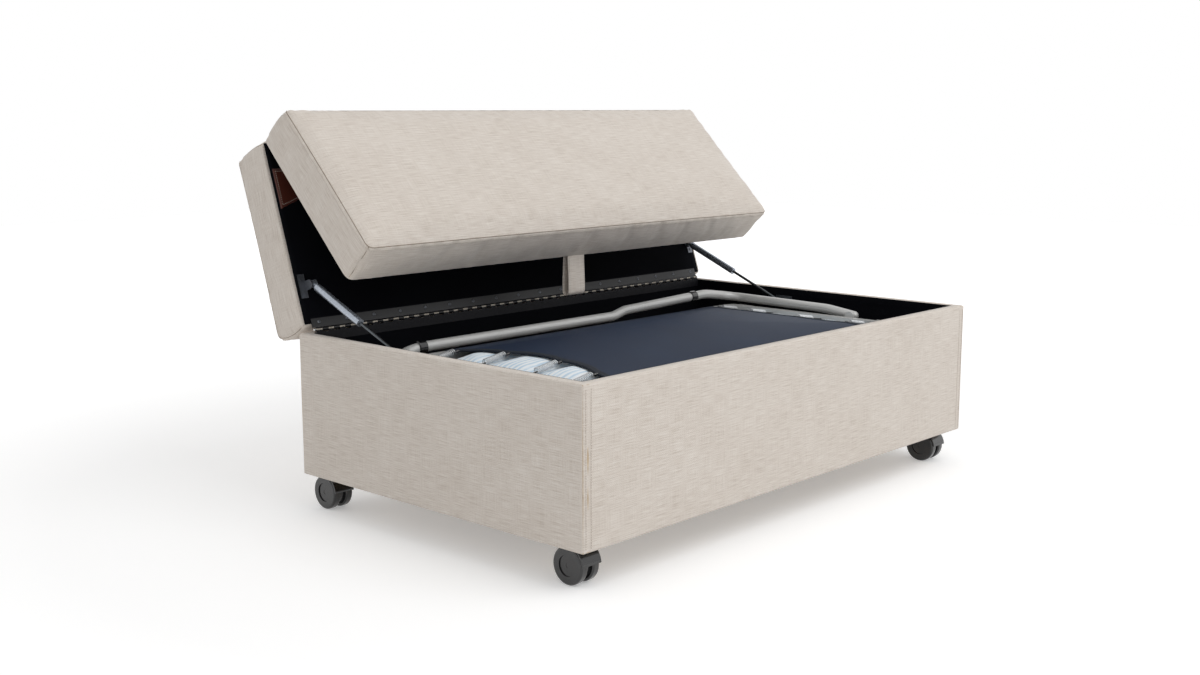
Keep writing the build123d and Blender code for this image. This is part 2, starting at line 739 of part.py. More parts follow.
def arc_height(offset, half, rise):
    """Height of a flat arc over its chord, at a distance from its middle"""
    radius = (half ** 2 + rise ** 2) / (2 * rise)
    return math.sqrt(radius ** 2 - offset ** 2) - (radius - rise)


def deck_edge(y):
    """X and Z of the bowed side edge of the middle deck"""
    middle, half = (folded_near + folded_far) / 2, (folded_far - folded_near) / 2 - frame_tube
    x = folded_half_width - frame_tube - deck_side_inset - arc_height(y - middle, half, deck_side_bow)
    rise = min(arc_height(y - middle, half, deck_dome), arc_height(x, deck_dome_half, deck_dome))
    return x, mid_frame_high + rise + deck_thickness / 2


def mid_section():
    save("mid_frame", ring_frame(folded_half_width, folded_near, folded_far, mid_frame_low, frame_depth))
    half = folded_half_width - frame_tube - deck_side_inset
    y0, y1 = folded_near + frame_tube, folded_far - frame_tube
    middle = (y0 + y1) / 2
    low = mid_frame_high + deck_thickness
    top = low + deck_dome
    side = deck_dome_half
    across = make_face(Wire([ThreePointArc((y0, low), (middle, top), (y1, low)), Line((y1, low), (y0, low))]))
    along = make_face(Wire([ThreePointArc((-side, low), (0, top), (side, low)), Line((side, low), (-side, low))]))
    plan = make_face(Wire([
        Line((-half, y0), (half, y0)),
        ThreePointArc((half, y0), (half - deck_side_bow, middle), (half, y1)),
        Line((half, y1), (-half, y1)),
        ThreePointArc((-half, y1), (-half + deck_side_bow, middle), (-half, y0)),
    ]))
    post = Pos(0, 0, mid_frame_low) * extrude(plan, top)
    dome = extrude(Plane.YZ * across, side, both=True) & extrude(Plane.XZ * along, abs(y0) + abs(y1), both=True)
    sheet = dome + block(-side, side, y0, y1, mid_frame_high, low)
    sheet = (sheet - Pos(0, 0, -deck_thickness) * dome) & post
    for start in (y0 - deck_hem_overlap, y1):
        sheet += block(-half, half, start, start + deck_hem_overlap, mid_frame_high, low)
    save("mid_deck", sheet)


def biarc(p0, t0, p1, t1):
    """Two tangent arcs between two points with given directions"""
    v, t = p1 - p0, t0 + t1
    square = 2 * (1 - t0.dot(t1))
    reach = (-v.dot(t) + math.sqrt(v.dot(t) ** 2 + square * v.dot(v))) / square
    joint = (p0 + p1) / 2 + (t0 - t1) * (reach / 2)
    first = TangentArc(p0, joint, tangent=t0)
    return [first, TangentArc(joint, p1, tangent=first % 1)]


def spring_path(turns, pitch):
    """Half turns of a helix along X, each as two arcs"""
    edges, points = [], []
    for step in range(2 * turns + 1):
        angle = math.pi * step
        slope = pitch / (2 * math.pi * spring_radius)
        size = math.hypot(1, slope)
        points.append((Vector(pitch * step / 2, spring_radius * math.cos(angle), spring_radius * math.sin(angle)),
                       Vector(slope / size, -math.sin(angle) / size, math.cos(angle) / size)))
    for (p0, t0), (p1, t1) in zip(points, points[1:]):
        edges += biarc(p0, t0, p1, t1)
    return edges


def deck_springs():
    pitch = spring_length / spring_turns
    path = Wire(spring_path(spring_turns, pitch))
    section = Plane(origin=path @ 0, z_dir=path % 0) * Circle(spring_wire / 2)
    coil = sweep(section, path=path)
    print("spring least gap", round(pitch * math.cos(math.atan(pitch / (2 * math.pi * spring_radius)))
                                    - spring_wire, 2))
    anchor_x, anchor_z = folded_half_width - frame_tube, mid_frame_high - spring_anchor_drop
    seat = spring_wire / 2 + spring_seat_gap
    springs, hooks = [], []
    for setback in spring_setbacks:
        for way in (-1, 1):
            y = folded_near + setback
            x, z = deck_edge(y + way * spring_radius)
            across, drop = anchor_x - x, z - anchor_z
            length = math.hypot(across, drop)
            line = Plane(origin=(way * x, y, z), x_dir=(way * across, 0, -drop), z_dir=(way * drop, 0, across))
            coil_end = spring_hook_length + spring_length
            springs.append(line * Pos(spring_hook_length, 0, 0) * coil)
            hooks.append(line * bar_x(spring_hem_gap, spring_hook_length - seat, spring_radius, 0,
                                      spring_hook_radius))
            hooks.append(line * bar_x(coil_end + seat, length - spring_seat_gap * 2, spring_radius, 0,
                                      spring_hook_radius))
            print("spring", round(way * x, 2), round(y, 2), round(z, 2), "length", round(length, 2))
    save("deck_springs", *springs)
    save("deck_spring_hooks", *hooks)


def bed_hinge_arms():
    """Arms from the head frame and the mid frame that meet at the fold axis"""
    half = hinge_arm_width / 2
    outer_x = bed_half_width + hinge_arm_thickness
    near = axis_y + head_frame_reach
    head = block(bed_half_width, outer_x, axis_y - half, near + frame_corner_radius + hinge_arm_width,
                 head_frame_low, head_frame_low + frame_depth)
    head += block(bed_half_width, outer_x, axis_y - half, axis_y + half, head_frame_low, axis_z)
    head += bar_x(bed_half_width, outer_x, axis_y, axis_z, half)
    pin = bar_x(folded_half_width + running_gap, outer_x, axis_y, axis_z, bed_pin_radius)
    save("head_hinge_arms", *both_sides(head + pin))
    x0 = bed_half_width - running_gap - hinge_arm_thickness
    x1 = bed_half_width - running_gap
    reach = folded_near + frame_corner_radius + hinge_arm_width
    arm = bar_x(x0, x1, axis_y, axis_z, half)
    rise = make_face(Polyline((axis_y - half, axis_z), (axis_y + half, axis_z), (reach, mid_frame_low),
                              (reach, mid_frame_high), (folded_near + hinge_arm_chamfer, mid_frame_high), close=True))
    arm += Pos(x0, 0, 0) * extrude(Plane.YZ * rise, hinge_arm_thickness)
    arm += block(folded_half_width, x0 + hinge_arm_thickness / 2, reach - hinge_arm_width, reach, mid_frame_low,
                 mid_frame_high)
    arm -= bar_x(x0 - overrun, x1 + overrun, axis_y, axis_z, bed_pin_radius + bed_pin_clearance)
    save("mid_hinge_arms", *both_sides(arm))
    link = block(folded_half_width, folded_half_width + hinge_arm_thickness, folded_far - frame_corner_radius
                 - foot_link_length, folded_far - frame_corner_radius, foot_frame_low, mid_frame_high)
    save("foot_hinge_links", *both_sides(link))


def rounded_path(points, radii):
    """Straight runs through the points, joined by arcs"""
    points = [Vector(*point) for point in points]
    edges, start = [], points[0]
    for before, corner, after, radius in zip(points, points[1:], points[2:], radii):
        back, on = (before - corner).normalized(), (after - corner).normalized()
        half = math.acos(back.dot(on)) / 2
        reach = radius / math.tan(half)
        first, last = corner + back * reach, corner + on * reach
        inner = corner + (back + on).normalized() * (radius / math.sin(half) - radius)
        edges += [Line(start, first), ThreePointArc(first, inner, last)]
        start = last
    return Wire(edges + [Line(start, points[-1])])


def leg_points():
    y1 = folded_far + leg_tube_beyond
    y0 = y1 - leg_arm_length
    x, z = leg_arm_offset, mid_frame_high + leg_height_above_frame
    step, near = leg_step, leg_joggle_start
    return [(-x, y0, z), (-x, y1, z), (-x + leg_left_reach, y1, z + step), (near, y1, z + step),
            (near + leg_joggle_run, y1, z + 2 * step), (leg_right_start, y1, z + 3 * step),
            (x, y1, z + 3 * step - leg_corner_drop), (x, y0 + leg_arm_bend, z + step), (x, y0, z)]


def leg():
    points = leg_points()
    corner, bend, joggle = leg_corner_radius, leg_bend_radius, leg_joggle_radius
    path = rounded_path(points, [corner, bend, joggle, joggle, bend, corner, bend])
    section = Plane(origin=path @ 0, z_dir=path % 0) * Circle(leg_tube_radius)
    tube = sweep(section, path=path)
    pivot_y, z = points[0][1:]
    for end in (points[0], points[-1]):
        tube += Pos(*end) * Sphere(leg_tube_radius)
    bore = bar_x(-leg_arm_offset * 2, leg_arm_offset * 2, pivot_y, z, bed_pin_radius + bed_pin_clearance)
    save("bed_leg", tube - bore)
    outer = folded_half_width + leg_ear_thickness
    half = leg_ear_width / 2
    ear = block(folded_half_width, outer, pivot_y - half, pivot_y + half, mid_frame_low, z)
    ear += bar_x(folded_half_width, outer, pivot_y, z, half)
    ear += bar_x(folded_half_width, leg_arm_offset + leg_tube_radius + running_gap, pivot_y, z, bed_pin_radius)
    save("leg_pivot_brackets", *both_sides(ear))
    print("leg pivot", round(pivot_y, 2), round(z, 2))


# Lift


def channel(web_x, half, depth, z0):
    outer = block(web_x - depth, web_x, rail_y_place - half, rail_y_place + half, z0, rail_high)
    return outer - block(web_x - depth - overrun, web_x - rail_wall, rail_y_place - half + rail_wall,
                         rail_y_place + half - rail_wall, z0 - overrun, rail_high + overrun)


def lift_rails():
    outer = channel(rail_offset, rail_half_width, rail_depth, floor_top)
    for share in rail_bracket_heights_share:
        z = rail_low + (rail_high - rail_low) * share
        outer += block(rail_offset - rail_wall / 2, lined_half_length, rail_y_place - rail_half_width,
                       rail_y_place + rail_half_width, z, z + rail_bracket_height)
    save("lift_rails_outer", *both_sides(outer))
    web = rail_offset - rail_wall - running_gap
    half = rail_half_width - rail_wall - running_gap
    depth = rail_depth - rail_wall - running_gap
    save("lift_rails_middle", *both_sides(channel(web, half, depth, rail_low)))
    web -= rail_wall + running_gap
    half -= rail_wall + running_gap
    inner = block(web - rail_inner_thickness, web, rail_y_place - half, rail_y_place + half, rail_low, rail_high)
    inner += block(bed_half_width, web - rail_inner_thickness / 2, rail_y_place - half, rail_y_place + half,
                   head_frame_low, head_frame_low + frame_depth)
    save("lift_rails_inner", *both_sides(inner))


origin_y = (as_open_rear(rear_pad()[1]).bounding_box().max.Y - half_width) / 2


def main():
    os.makedirs("parts", exist_ok=True)
    box_boards()
    corner_blocks()
    base_cover()
    base_lining()
    fold_hinges()
    lid_rear()
    lid_front()
    struts()
    strut_brackets()
    casters()
    head_section()
    foot_section()
    mid_section()
    deck_springs()
    bed_hinge_arms()
    leg()
    lift_rails()
    print("origin", round(origin_y, 3))
    print("lid axis", round(lid_axis_y, 3), round(lid_axis_z, 3), "bed axis", round(axis_y, 3), round(axis_z, 3))
    fold = as_open_rear(Pos(0, fold_axis_y, lid_axis_z) * Vertex(0, 0, 0)).center()
    print("fold axis", round(fold.Y, 3), round(fold.Z, 3))
    low, high = strut_ends()
    print("strut base", round(low.Y, 3), round(low.Z, 3), "lid", round(high.Y, 3), round(high.Z, 3))


main()
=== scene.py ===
import json
import math

import bmesh
import bpy
from mathutils import Euler, Matrix, Vector, noise


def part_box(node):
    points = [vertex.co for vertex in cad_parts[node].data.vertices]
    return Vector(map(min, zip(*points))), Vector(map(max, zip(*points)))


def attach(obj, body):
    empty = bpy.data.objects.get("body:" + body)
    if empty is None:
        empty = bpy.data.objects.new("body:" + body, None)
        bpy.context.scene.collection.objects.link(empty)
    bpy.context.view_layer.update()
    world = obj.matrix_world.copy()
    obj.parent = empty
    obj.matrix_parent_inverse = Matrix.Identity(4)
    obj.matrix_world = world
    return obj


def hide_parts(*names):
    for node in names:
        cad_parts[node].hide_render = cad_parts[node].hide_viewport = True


# Fold out ottoman guest bed: cloth, padding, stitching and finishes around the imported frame.
# Metres. X runs along the box, Y to the back, Z up.

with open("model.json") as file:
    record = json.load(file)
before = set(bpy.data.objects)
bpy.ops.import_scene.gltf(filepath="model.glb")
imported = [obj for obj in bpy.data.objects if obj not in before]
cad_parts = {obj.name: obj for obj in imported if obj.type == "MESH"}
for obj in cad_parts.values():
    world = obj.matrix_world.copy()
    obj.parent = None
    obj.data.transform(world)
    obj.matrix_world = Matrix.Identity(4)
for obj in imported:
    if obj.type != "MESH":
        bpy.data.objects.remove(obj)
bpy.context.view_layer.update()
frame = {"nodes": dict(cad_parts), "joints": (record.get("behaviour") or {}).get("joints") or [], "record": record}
nodes = frame["nodes"]
joints = {joint["name"]: joint for joint in frame["joints"]}
print("frame loaded")


def corners(node):
    return (Vector(corner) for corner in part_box(node))


boxLow, boxHigh = corners("base_cover")
boxSize = boxHigh - boxLow
boxMiddle = (boxLow + boxHigh) / 2
lidAxis = Vector(joints["lid_hinge"]["pos_m"])
foldAxis = Vector(joints["lid_fold"]["pos_m"])
openAngle = math.radians(abs(joints["lid_hinge"]["range_deg"][0]))
foldAngle = math.radians(abs(joints["lid_fold"]["range_deg"][0]))
lidReach = (foldAxis - lidAxis).length


# Camera and stage

cameraDict = dict(
    place=Vector((-1.51995, -1.43655, 0.68507)),  # from the near lower corner of the box
    pitch=math.radians(9.2955), heading=math.radians(47.334), lens=42.10, sensor=36.0)

stageDict = dict(
    floorSize=14.0, floorColour=(0.9, 0.9, 0.9, 1), floorRoughness=0.9, nearGlow=0.30, farGlow=0.62,
    glowStart=1.1, glowEnd=2.8, worldLight=0.61, worldSeen=1.0,
    keyPower=38.0, keySize=2.6, keyPlace=(0.3, -2.3, 3.1),
    fillPower=6.0, fillSize=3.0, fillPlace=(3.0, -1.6, 1.6))


def linkPiece(name, data):
    piece = bpy.data.objects.new(name, data)
    bpy.context.collection.objects.link(piece)
    return piece


def makeCamera():
    data = bpy.data.cameras.new("camera")
    data.lens = cameraDict["lens"]
    data.sensor_width = cameraDict["sensor"]
    camera = linkPiece("camera", data)
    camera.location = boxLow + cameraDict["place"]
    camera.rotation_euler = Euler((math.pi / 2 - cameraDict["pitch"], 0, -cameraDict["heading"]))
    bpy.context.scene.camera = camera


def makeLight(name, power, size, place):
    data = bpy.data.lights.new(name, "AREA")
    data.energy = power
    data.size = size
    light = linkPiece(name, data)
    light.location = place
    light.rotation_euler = (boxMiddle - Vector(place)).to_track_quat("-Z", "Y").to_euler()


def seenRays(tree):
    # 1 for rays from the camera and from reflections, 0 for the light that falls on surfaces
    paths = tree.nodes.new("ShaderNodeLightPath")
    return addMath(tree, "MAXIMUM", paths.outputs["Is Camera Ray"], paths.outputs["Is Glossy Ray"])


def makeFloor():
    # paper that glows more with the distance, so that it fades into the white behind it
    s = stageDict
    bpy.ops.mesh.primitive_plane_add(size=s["floorSize"])
    floor = bpy.context.object
    floor.name = "floor"
    material, tree, shader = newMaterial("floorPaper", s["floorColour"], s["floorRoughness"])
    spot = tree.nodes.new("ShaderNodeTexCoord")
    reach = tree.nodes.new("ShaderNodeVectorMath")
    reach.operation = "LENGTH"
    level = tree.nodes.new("ShaderNodeMapRange")
    for name, value in (("From Min", s["glowStart"]), ("From Max", s["glowEnd"]),
                        ("To Min", s["nearGlow"]), ("To Max", s["farGlow"])):
        level.inputs[name].default_value = value
    wire(tree, (spot, "Object", reach, 0), (reach, "Value", level, "Value"))
    glow = addMath(tree, "MULTIPLY", seenRays(tree), level.outputs["Result"])
    tree.links.new(glow, shader.inputs["Emission Strength"])
    shader.inputs["Emission Color"].default_value = (1, 1, 1, 1)
    floor.data.materials.append(material)


def makeStage():
    s = stageDict
    makeFloor()
    world = bpy.data.worlds.new("studio")
    bpy.context.scene.world = world
    world.use_nodes = True
    tree = world.node_tree
    background = tree.nodes["Background"]
    background.inputs["Color"].default_value = (1, 1, 1, 1)
    mix = tree.nodes.new("ShaderNodeMix")
    mix.inputs[2].default_value = s["worldLight"]
    mix.inputs[3].default_value = s["worldSeen"]
    tree.links.new(seenRays(tree), mix.inputs[0])
    tree.links.new(mix.outputs[0], background.inputs["Strength"])
    makeLight("keyLight", s["keyPower"], s["keySize"], s["keyPlace"])
    makeLight("fillLight", s["fillPower"], s["fillSize"], s["fillPlace"])
    bpy.context.scene.view_settings.view_transform = "Standard"


# Materials

def newMaterial(name, colour, roughness, metallic=0.0):
    material = bpy.data.materials.new(name)
    material.use_nodes = True
    tree = material.node_tree
    shader = tree.nodes["Principled BSDF"]
    shader.inputs["Base Color"].default_value = colour
    shader.inputs["Roughness"].default_value = roughness
    shader.inputs["Metallic"].default_value = metallic
    return material, tree, shader


def wire(tree, *links):
    for source, output, target, place in links:
        tree.links.new(source.outputs[output], target.inputs[place])


def addMath(tree, operation, first, second):
    node = tree.nodes.new("ShaderNodeMath")
    node.operation = operation
    for socket, value in zip(node.inputs, (first, second)):
        if isinstance(value, (int, float)):
            socket.default_value = value
        else:
            tree.links.new(value, socket)
    return node.outputs[0]


def addBlend(tree, first, share, second, rest):
    parts = [addMath(tree, "MULTIPLY", value, weight) for value, weight in ((first, share), (second, rest))]
    return addMath(tree, "ADD", *parts)


def addMapping(tree, scale, useUv):
    coords = tree.nodes.new("ShaderNodeTexCoord")
    mapping = tree.nodes.new("ShaderNodeMapping")
    mapping.inputs["Scale"].default_value = scale
    tree.links.new(coords.outputs["UV" if useUv else "Object"], mapping.inputs["Vector"])
    return mapping.outputs["Vector"]


def addNoise(tree, scale, useUv, detail=2.0, rough=0.5):
    # noise with so many waves per metre on each axis
    node = tree.nodes.new("ShaderNodeTexNoise")
    for name, value in (("Scale", 1), ("Detail", detail), ("Roughness", rough)):
        node.inputs[name].default_value = value
    tree.links.new(addMapping(tree, scale, useUv), node.inputs["Vector"])
    return node.outputs["Fac"]


def addRamp(tree, factor, places, colours):
    node = tree.nodes.new("ShaderNodeValToRGB")
    ramp = node.color_ramp
    while len(ramp.elements) < len(places):
        ramp.elements.new(0.5)
    for element, place, colour in zip(ramp.elements, places, colours):
        element.position = place
        element.color = (*colour, 1)
    tree.links.new(factor, node.inputs["Fac"])
    return node.outputs["Color"]


def paintRamp(tree, shader, factor, places, colours):
    tree.links.new(addRamp(tree, factor, places, colours), shader.inputs["Base Color"])


def addBump(tree, shader, height, strength, distance):
    node = tree.nodes.new("ShaderNodeBump")
    node.inputs["Strength"].default_value = strength
    node.inputs["Distance"].default_value = distance
    tree.links.new(height, node.inputs["Height"])
    tree.links.new(node.outputs["Normal"], shader.inputs["Normal"])


def splitVector(tree, vector):
    split = tree.nodes.new("ShaderNodeSeparateXYZ")
    tree.links.new(vector, split.inputs[0])
    return split.outputs


linenDict = dict(
    dark=(0.58, 0.505, 0.435), middle=(0.735, 0.665, 0.595), light=(0.84, 0.785, 0.72),
    stops=(0.34, 0.5, 0.66), threadPerMetre=1500.0, slubAcross=900.0, slubAlong=26.0, warpAlong=22.0,
    cloudAcross=7.0, cloudAlong=11.0, detail=3.0, grain=0.6, weftShare=0.72, warpShare=0.28,
    cloudShare=0.12, weaveHeight=0.35, threadHeight=2.0, bumpStrength=0.6, bump=0.00035,
    roughness=0.92, sheen=0.25, sheenRoughness=0.5)


def linenMaterial():
    # plain weave with long slubs along the cloth and finer, fainter ones across it
    s = linenDict
    material, tree, shader = newMaterial("linenCloth", (*s["middle"], 1), s["roughness"])
    slubs, warps = (addNoise(tree, (*scale, 1), True, s["detail"], s["grain"])
                    for scale in ((s["slubAlong"], s["slubAcross"]), (s["slubAcross"], s["warpAlong"])))
    clouds = addNoise(tree, (s["cloudAcross"], s["cloudAlong"], 1), True)
    both = addBlend(tree, slubs, s["weftShare"], warps, s["warpShare"])
    shade = addMath(tree, "MULTIPLY", addMath(tree, "SUBTRACT", clouds, 0.5), s["cloudShare"])
    tone = addMath(tree, "ADD", both, shade)
    paintRamp(tree, shader, tone, s["stops"], (s["dark"], s["middle"], s["light"]))
    waves = []
    for axis in (0, 1):
        scale = [0.0, 0.0, 0.0]
        scale[axis] = s["threadPerMetre"]
        waves.append(addMath(tree, "SINE", splitVector(tree, addMapping(tree, scale, True))[axis], 0))
    weave = addMath(tree, "MULTIPLY", waves[0], waves[1])
    height = addBlend(tree, weave, s["weaveHeight"], both, s["threadHeight"])
    addBump(tree, shader, height, s["bumpStrength"], s["bump"])
    shader.inputs["Sheen Weight"].default_value = s["sheen"]
    shader.inputs["Sheen Roughness"].default_value = s["sheenRoughness"]
    return material


clothDict = dict(broadScale=6, detail=3.0, fineShare=0.55, broadShare=0.45, stops=(0.35, 0.68),
                 bumpStrength=0.5, bump=0.0002)


def clothMaterial(name, colour, lighter, threads, roughness, useUv=True, sheen=0.2, shine=0.5):
    s = clothDict
    material, tree, shader = newMaterial(name, (*colour, 1), roughness)
    fine = addNoise(tree, [threads] * 3, useUv)
    broad = addNoise(tree, [s["broadScale"]] * 3, useUv, s["detail"])
    tone = addBlend(tree, fine, s["fineShare"], broad, s["broadShare"])
    paintRamp(tree, shader, tone, s["stops"], (colour, lighter))
    addBump(tree, shader, fine, s["bumpStrength"], s["bump"])
    shader.inputs["Sheen Weight"].default_value = sheen
    shader.inputs["Specular IOR Level"].default_value = shine
    return material


tickingDict = dict(
    middle=(0.8, 0.87, 0.92, 1), colours=((0.58, 0.72, 0.84), (0.8, 0.88, 0.94), (0.92, 0.95, 0.97)),
    stops=(0.3, 0.5, 0.7), roughness=0.85, stripeTurn=520.0, stripeShare=0.2, cloudScale=(30, 160, 1),
    detail=3.0, bumpStrength=0.4, bump=0.0006)


def tickingMaterial():
    # white cotton with fine pale blue stripes
    s = tickingDict
    material, tree, shader = newMaterial("tickingCloth", s["middle"], s["roughness"])
    across = splitVector(tree, addMapping(tree, (1, 1, 1), True))[1]
    stripe = addMath(tree, "SINE", addMath(tree, "MULTIPLY", across, s["stripeTurn"]), 0)
    cloud = addNoise(tree, s["cloudScale"], True, s["detail"])
    tone = addBlend(tree, stripe, s["stripeShare"], cloud, 1)
    paintRamp(tree, shader, tone, s["stops"], s["colours"])
    addBump(tree, shader, cloud, s["bumpStrength"], s["bump"])
    return material


metalDict = dict(broadScale=14, detail=3.0, share=0.5, stops=(0.35, 0.65), roughSpread=0.16,
                 bumpStrength=0.12, bump=0.0001)


def metalMaterial(name, colour, roughness, metallic, grain=220.0, coat=0.0, wear=0.15):
    s = metalDict
    material, tree, shader = newMaterial(name, (*colour, 1), roughness, metallic)
    speck = addNoise(tree, [grain] * 3, False, s["detail"])
    broad = addNoise(tree, [s["broadScale"]] * 3, False, s["detail"])
    tone = addBlend(tree, speck, s["share"], broad, s["share"])
    darker = tuple(channel * (1 - wear) for channel in colour)
    lighter = tuple(min(1, channel * (1 + wear)) for channel in colour)
    paintRamp(tree, shader, tone, s["stops"], (darker, lighter))
    rough = addMath(tree, "MULTIPLY", tone, s["roughSpread"])
    rough = addMath(tree, "ADD", rough, roughness - s["roughSpread"] / 2)
    tree.links.new(rough, shader.inputs["Roughness"])
    addBump(tree, shader, speck, s["bumpStrength"], s["bump"])
    shader.inputs["Coat Weight"].default_value = coat
    return material


# below and above bound the painted highlight band around the hinge axis; pale holds its colours
knuckleDict = dict(
    paint=(0.01, 0.01, 0.012, 1), roughness=0.5, below=0.0006, above=0.0022, grain=400, stops=(0.3, 0.7),
    pale=((0.5, 0.44, 0.36), (0.72, 0.66, 0.57)), dark=((0.004, 0.004, 0.006), (0.012, 0.012, 0.016)),
    bumpStrength=0.2, bump=0.0001, shine=0.3)


def knuckleMaterial():
    # black leaf with a painted highlight: a thin pale band across its knuckles near the height of the hinge axis
    s = knuckleDict
    material, tree, shader = newMaterial("knucklesPaintedHighlight", s["paint"], s["roughness"])
    height = splitVector(tree, addMapping(tree, (1, 1, 1), False))[2]
    above = addMath(tree, "GREATER_THAN", height, lidAxis.z - s["below"])
    below = addMath(tree, "LESS_THAN", height, lidAxis.z + s["above"])
    speck = addNoise(tree, [s["grain"]] * 3, False)
    mix = tree.nodes.new("ShaderNodeMix")
    mix.data_type = "RGBA"
    # painted highlight: the pale colours are mixed in only inside this height band
    tree.links.new(addMath(tree, "MULTIPLY", above, below), mix.inputs["Factor"])
    for socket, colours in ((6, s["dark"]), (7, s["pale"])):
        tree.links.new(addRamp(tree, speck, s["stops"], colours), mix.inputs[socket])
    tree.links.new(mix.outputs[2], shader.inputs["Base Color"])
    addBump(tree, shader, speck, s["bumpStrength"], s["bump"])
    shader.inputs["Specular IOR Level"].default_value = s["shine"]
    return material


woodDict = dict(
    middle=(0.6, 0.47, 0.32, 1), colours=((0.45, 0.32, 0.19), (0.68, 0.55, 0.39)), stops=(0.3, 0.7),
    roughness=0.7, grainScale=(3, 60, 60), detail=4.0, bumpStrength=0.3, bump=0.0003)


def woodMaterial():
    s = woodDict
    material, tree, shader = newMaterial("panelWood", s["middle"], s["roughness"])
    grain = addNoise(tree, s["grainScale"], False, s["detail"])
    paintRamp(tree, shader, grain, s["stops"], s["colours"])
    addBump(tree, shader, grain, s["bumpStrength"], s["bump"])
    return material


clothRows = dict(
    blackCloth=dict(colour=(0.0022, 0.0024, 0.0035), lighter=(0.006, 0.0065, 0.009), threads=900.0,
                    roughness=0.85, sheen=0.0, shine=0.05),
    navyCloth=dict(colour=(0.0025, 0.0095, 0.029), lighter=(0.005, 0.018, 0.048), threads=1300.0,
                   roughness=0.6, sheen=0.02, shine=0.2),
    navyHem=dict(colour=(0.003, 0.006, 0.013), lighter=(0.007, 0.012, 0.022), threads=1300.0,
                 roughness=0.7, sheen=0.02, shine=0.25),
    brownVinyl=dict(colour=(0.085, 0.02, 0.012), lighter=(0.13, 0.034, 0.02), threads=500.0,
                    roughness=0.42, sheen=0.0),
    thread=dict(colour=(0.56, 0.5, 0.44), lighter=(0.66, 0.6, 0.54), threads=2000.0,
                roughness=0.8, useUv=False),
    navyThread=dict(colour=(0.012, 0.02, 0.035), lighter=(0.03, 0.04, 0.06), threads=2000.0,
                    roughness=0.7, useUv=False),
    # seamShade: dark colour painted in the seam grooves as shade
    seamShade=dict(colour=(0.22, 0.165, 0.12), lighter=(0.3, 0.235, 0.175), threads=2000.0,
                   roughness=0.9, useUv=False))

metalRows = dict(
    blackSteel=dict(colour=(0.004, 0.004, 0.0055), roughness=0.42, metallic=0.0, wear=0.3),
    brightSteel=dict(colour=(0.62, 0.63, 0.64), roughness=0.3, metallic=1.0),
    dullSteel=dict(colour=(0.16, 0.17, 0.19), roughness=0.4, metallic=0.8),
    darkRod=dict(colour=(0.1, 0.11, 0.12), roughness=0.25, metallic=0.9),
    # slotShade: near-black painted shade for the screw slots
    slotShade=dict(colour=(0.004, 0.004, 0.005), roughness=0.6, metallic=0.2),
    strutGrey=dict(colour=(0.42, 0.46, 0.52), roughness=0.28, metallic=0.75),
    bedPaint=dict(colour=(0.5, 0.5, 0.49), roughness=0.3, metallic=0.15, grain=500.0, coat=0.3, wear=0.06),
    blackPlastic=dict(colour=(0.008, 0.008, 0.009), roughness=0.2, metallic=0.0, grain=300.0, coat=0.5,
                      wear=0.3))

materials = dict(linen=linenMaterial(), ticking=tickingMaterial(), knuckleSteel=knuckleMaterial(),
                 board=woodMaterial())
materials.update({name: clothMaterial(name, **row) for name, row in clothRows.items()})
materials.update({name: metalMaterial(name, **row) for name, row in metalRows.items()})
print("materials made")


# Mesh helpers

def newPiece(name, verts, faces, material, uvs=None):
    mesh = bpy.data.meshes.new(name)
    mesh.from_pydata([tuple(v) for v in verts], [], faces)
    mesh.materials.append(materials[material])
    if uvs is not None:
        layer = mesh.uv_layers.new(name="cloth")
        for polygon in mesh.polygons:
            for loop in polygon.loop_indices:
                layer.data[loop].uv = uvs[mesh.loops[loop].vertex_index]
    for polygon in mesh.polygons:
        polygon.use_smooth = True
    return linkPiece(name, mesh)


def boxUv(piece):
    # cloth coordinates in metres, laid on each face from the side that it looks to
    mesh = piece.data
    layer = mesh.uv_layers.get("cloth") or mesh.uv_layers.new(name="cloth")
    for polygon in mesh.polygons:
        n = polygon.normal
        for loop in polygon.loop_indices:
            x, y, z = mesh.vertices[mesh.loops[loop].vertex_index].co
            if abs(n.z) >= max(abs(n.x), abs(n.y)):
                layer.data[loop].uv = (x, y)
            elif abs(n.y) >= abs(n.x):
                layer.data[loop].uv = (x, z)
            else:
                layer.data[loop].uv = (y, z)


def settle(piece, body, node=None):
    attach(piece, body)
    if node:
        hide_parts(node)
    return piece


def thicken(piece, thickness, offset=0):
    wall = piece.modifiers.new("wall", "SOLIDIFY")
    wall.thickness = thickness
    wall.offset = offset


def recalcFaces(piece):
    work = bmesh.new()
    work.from_mesh(piece.data)
    bmesh.ops.recalc_face_normals(work, faces=work.faces)
    work.to_mesh(piece.data)
    work.free()


def evenly(low, high, count):
    return [low + (high - low) * i / count for i in range(count + 1)]


def gridFaces(wide, rows):
    return [(r * wide + c, r * wide + c + 1, (r + 1) * wide + c + 1, (r + 1) * wide + c)
            for r in range(rows - 1) for c in range(wide - 1)]


def roundedLoop(x0, x1, y0, y1, radius, cornerSteps, straight):
    def onArc(cx, cy, degrees):
        angle = math.radians(degrees)
        return Vector((cx + radius * math.cos(angle), cy + radius * math.sin(angle)))

    points = []
    middles = [(x1 - radius, y0 + radius, -90), (x1 - radius, y1 - radius, 0),
               (x0 + radius, y1 - radius, 90), (x0 + radius, y0 + radius, 180)]
    for index, (cx, cy, start) in enumerate(middles):
        arc = [onArc(cx, cy, start + 90 * step / cornerSteps) for step in range(cornerSteps + 1)]
        points += arc
        after = onArc(*middles[(index + 1) % 4])
        count = straight[index % 2]
        points += [arc[-1].lerp(after, step / count) for step in range(1, count)]
    return points


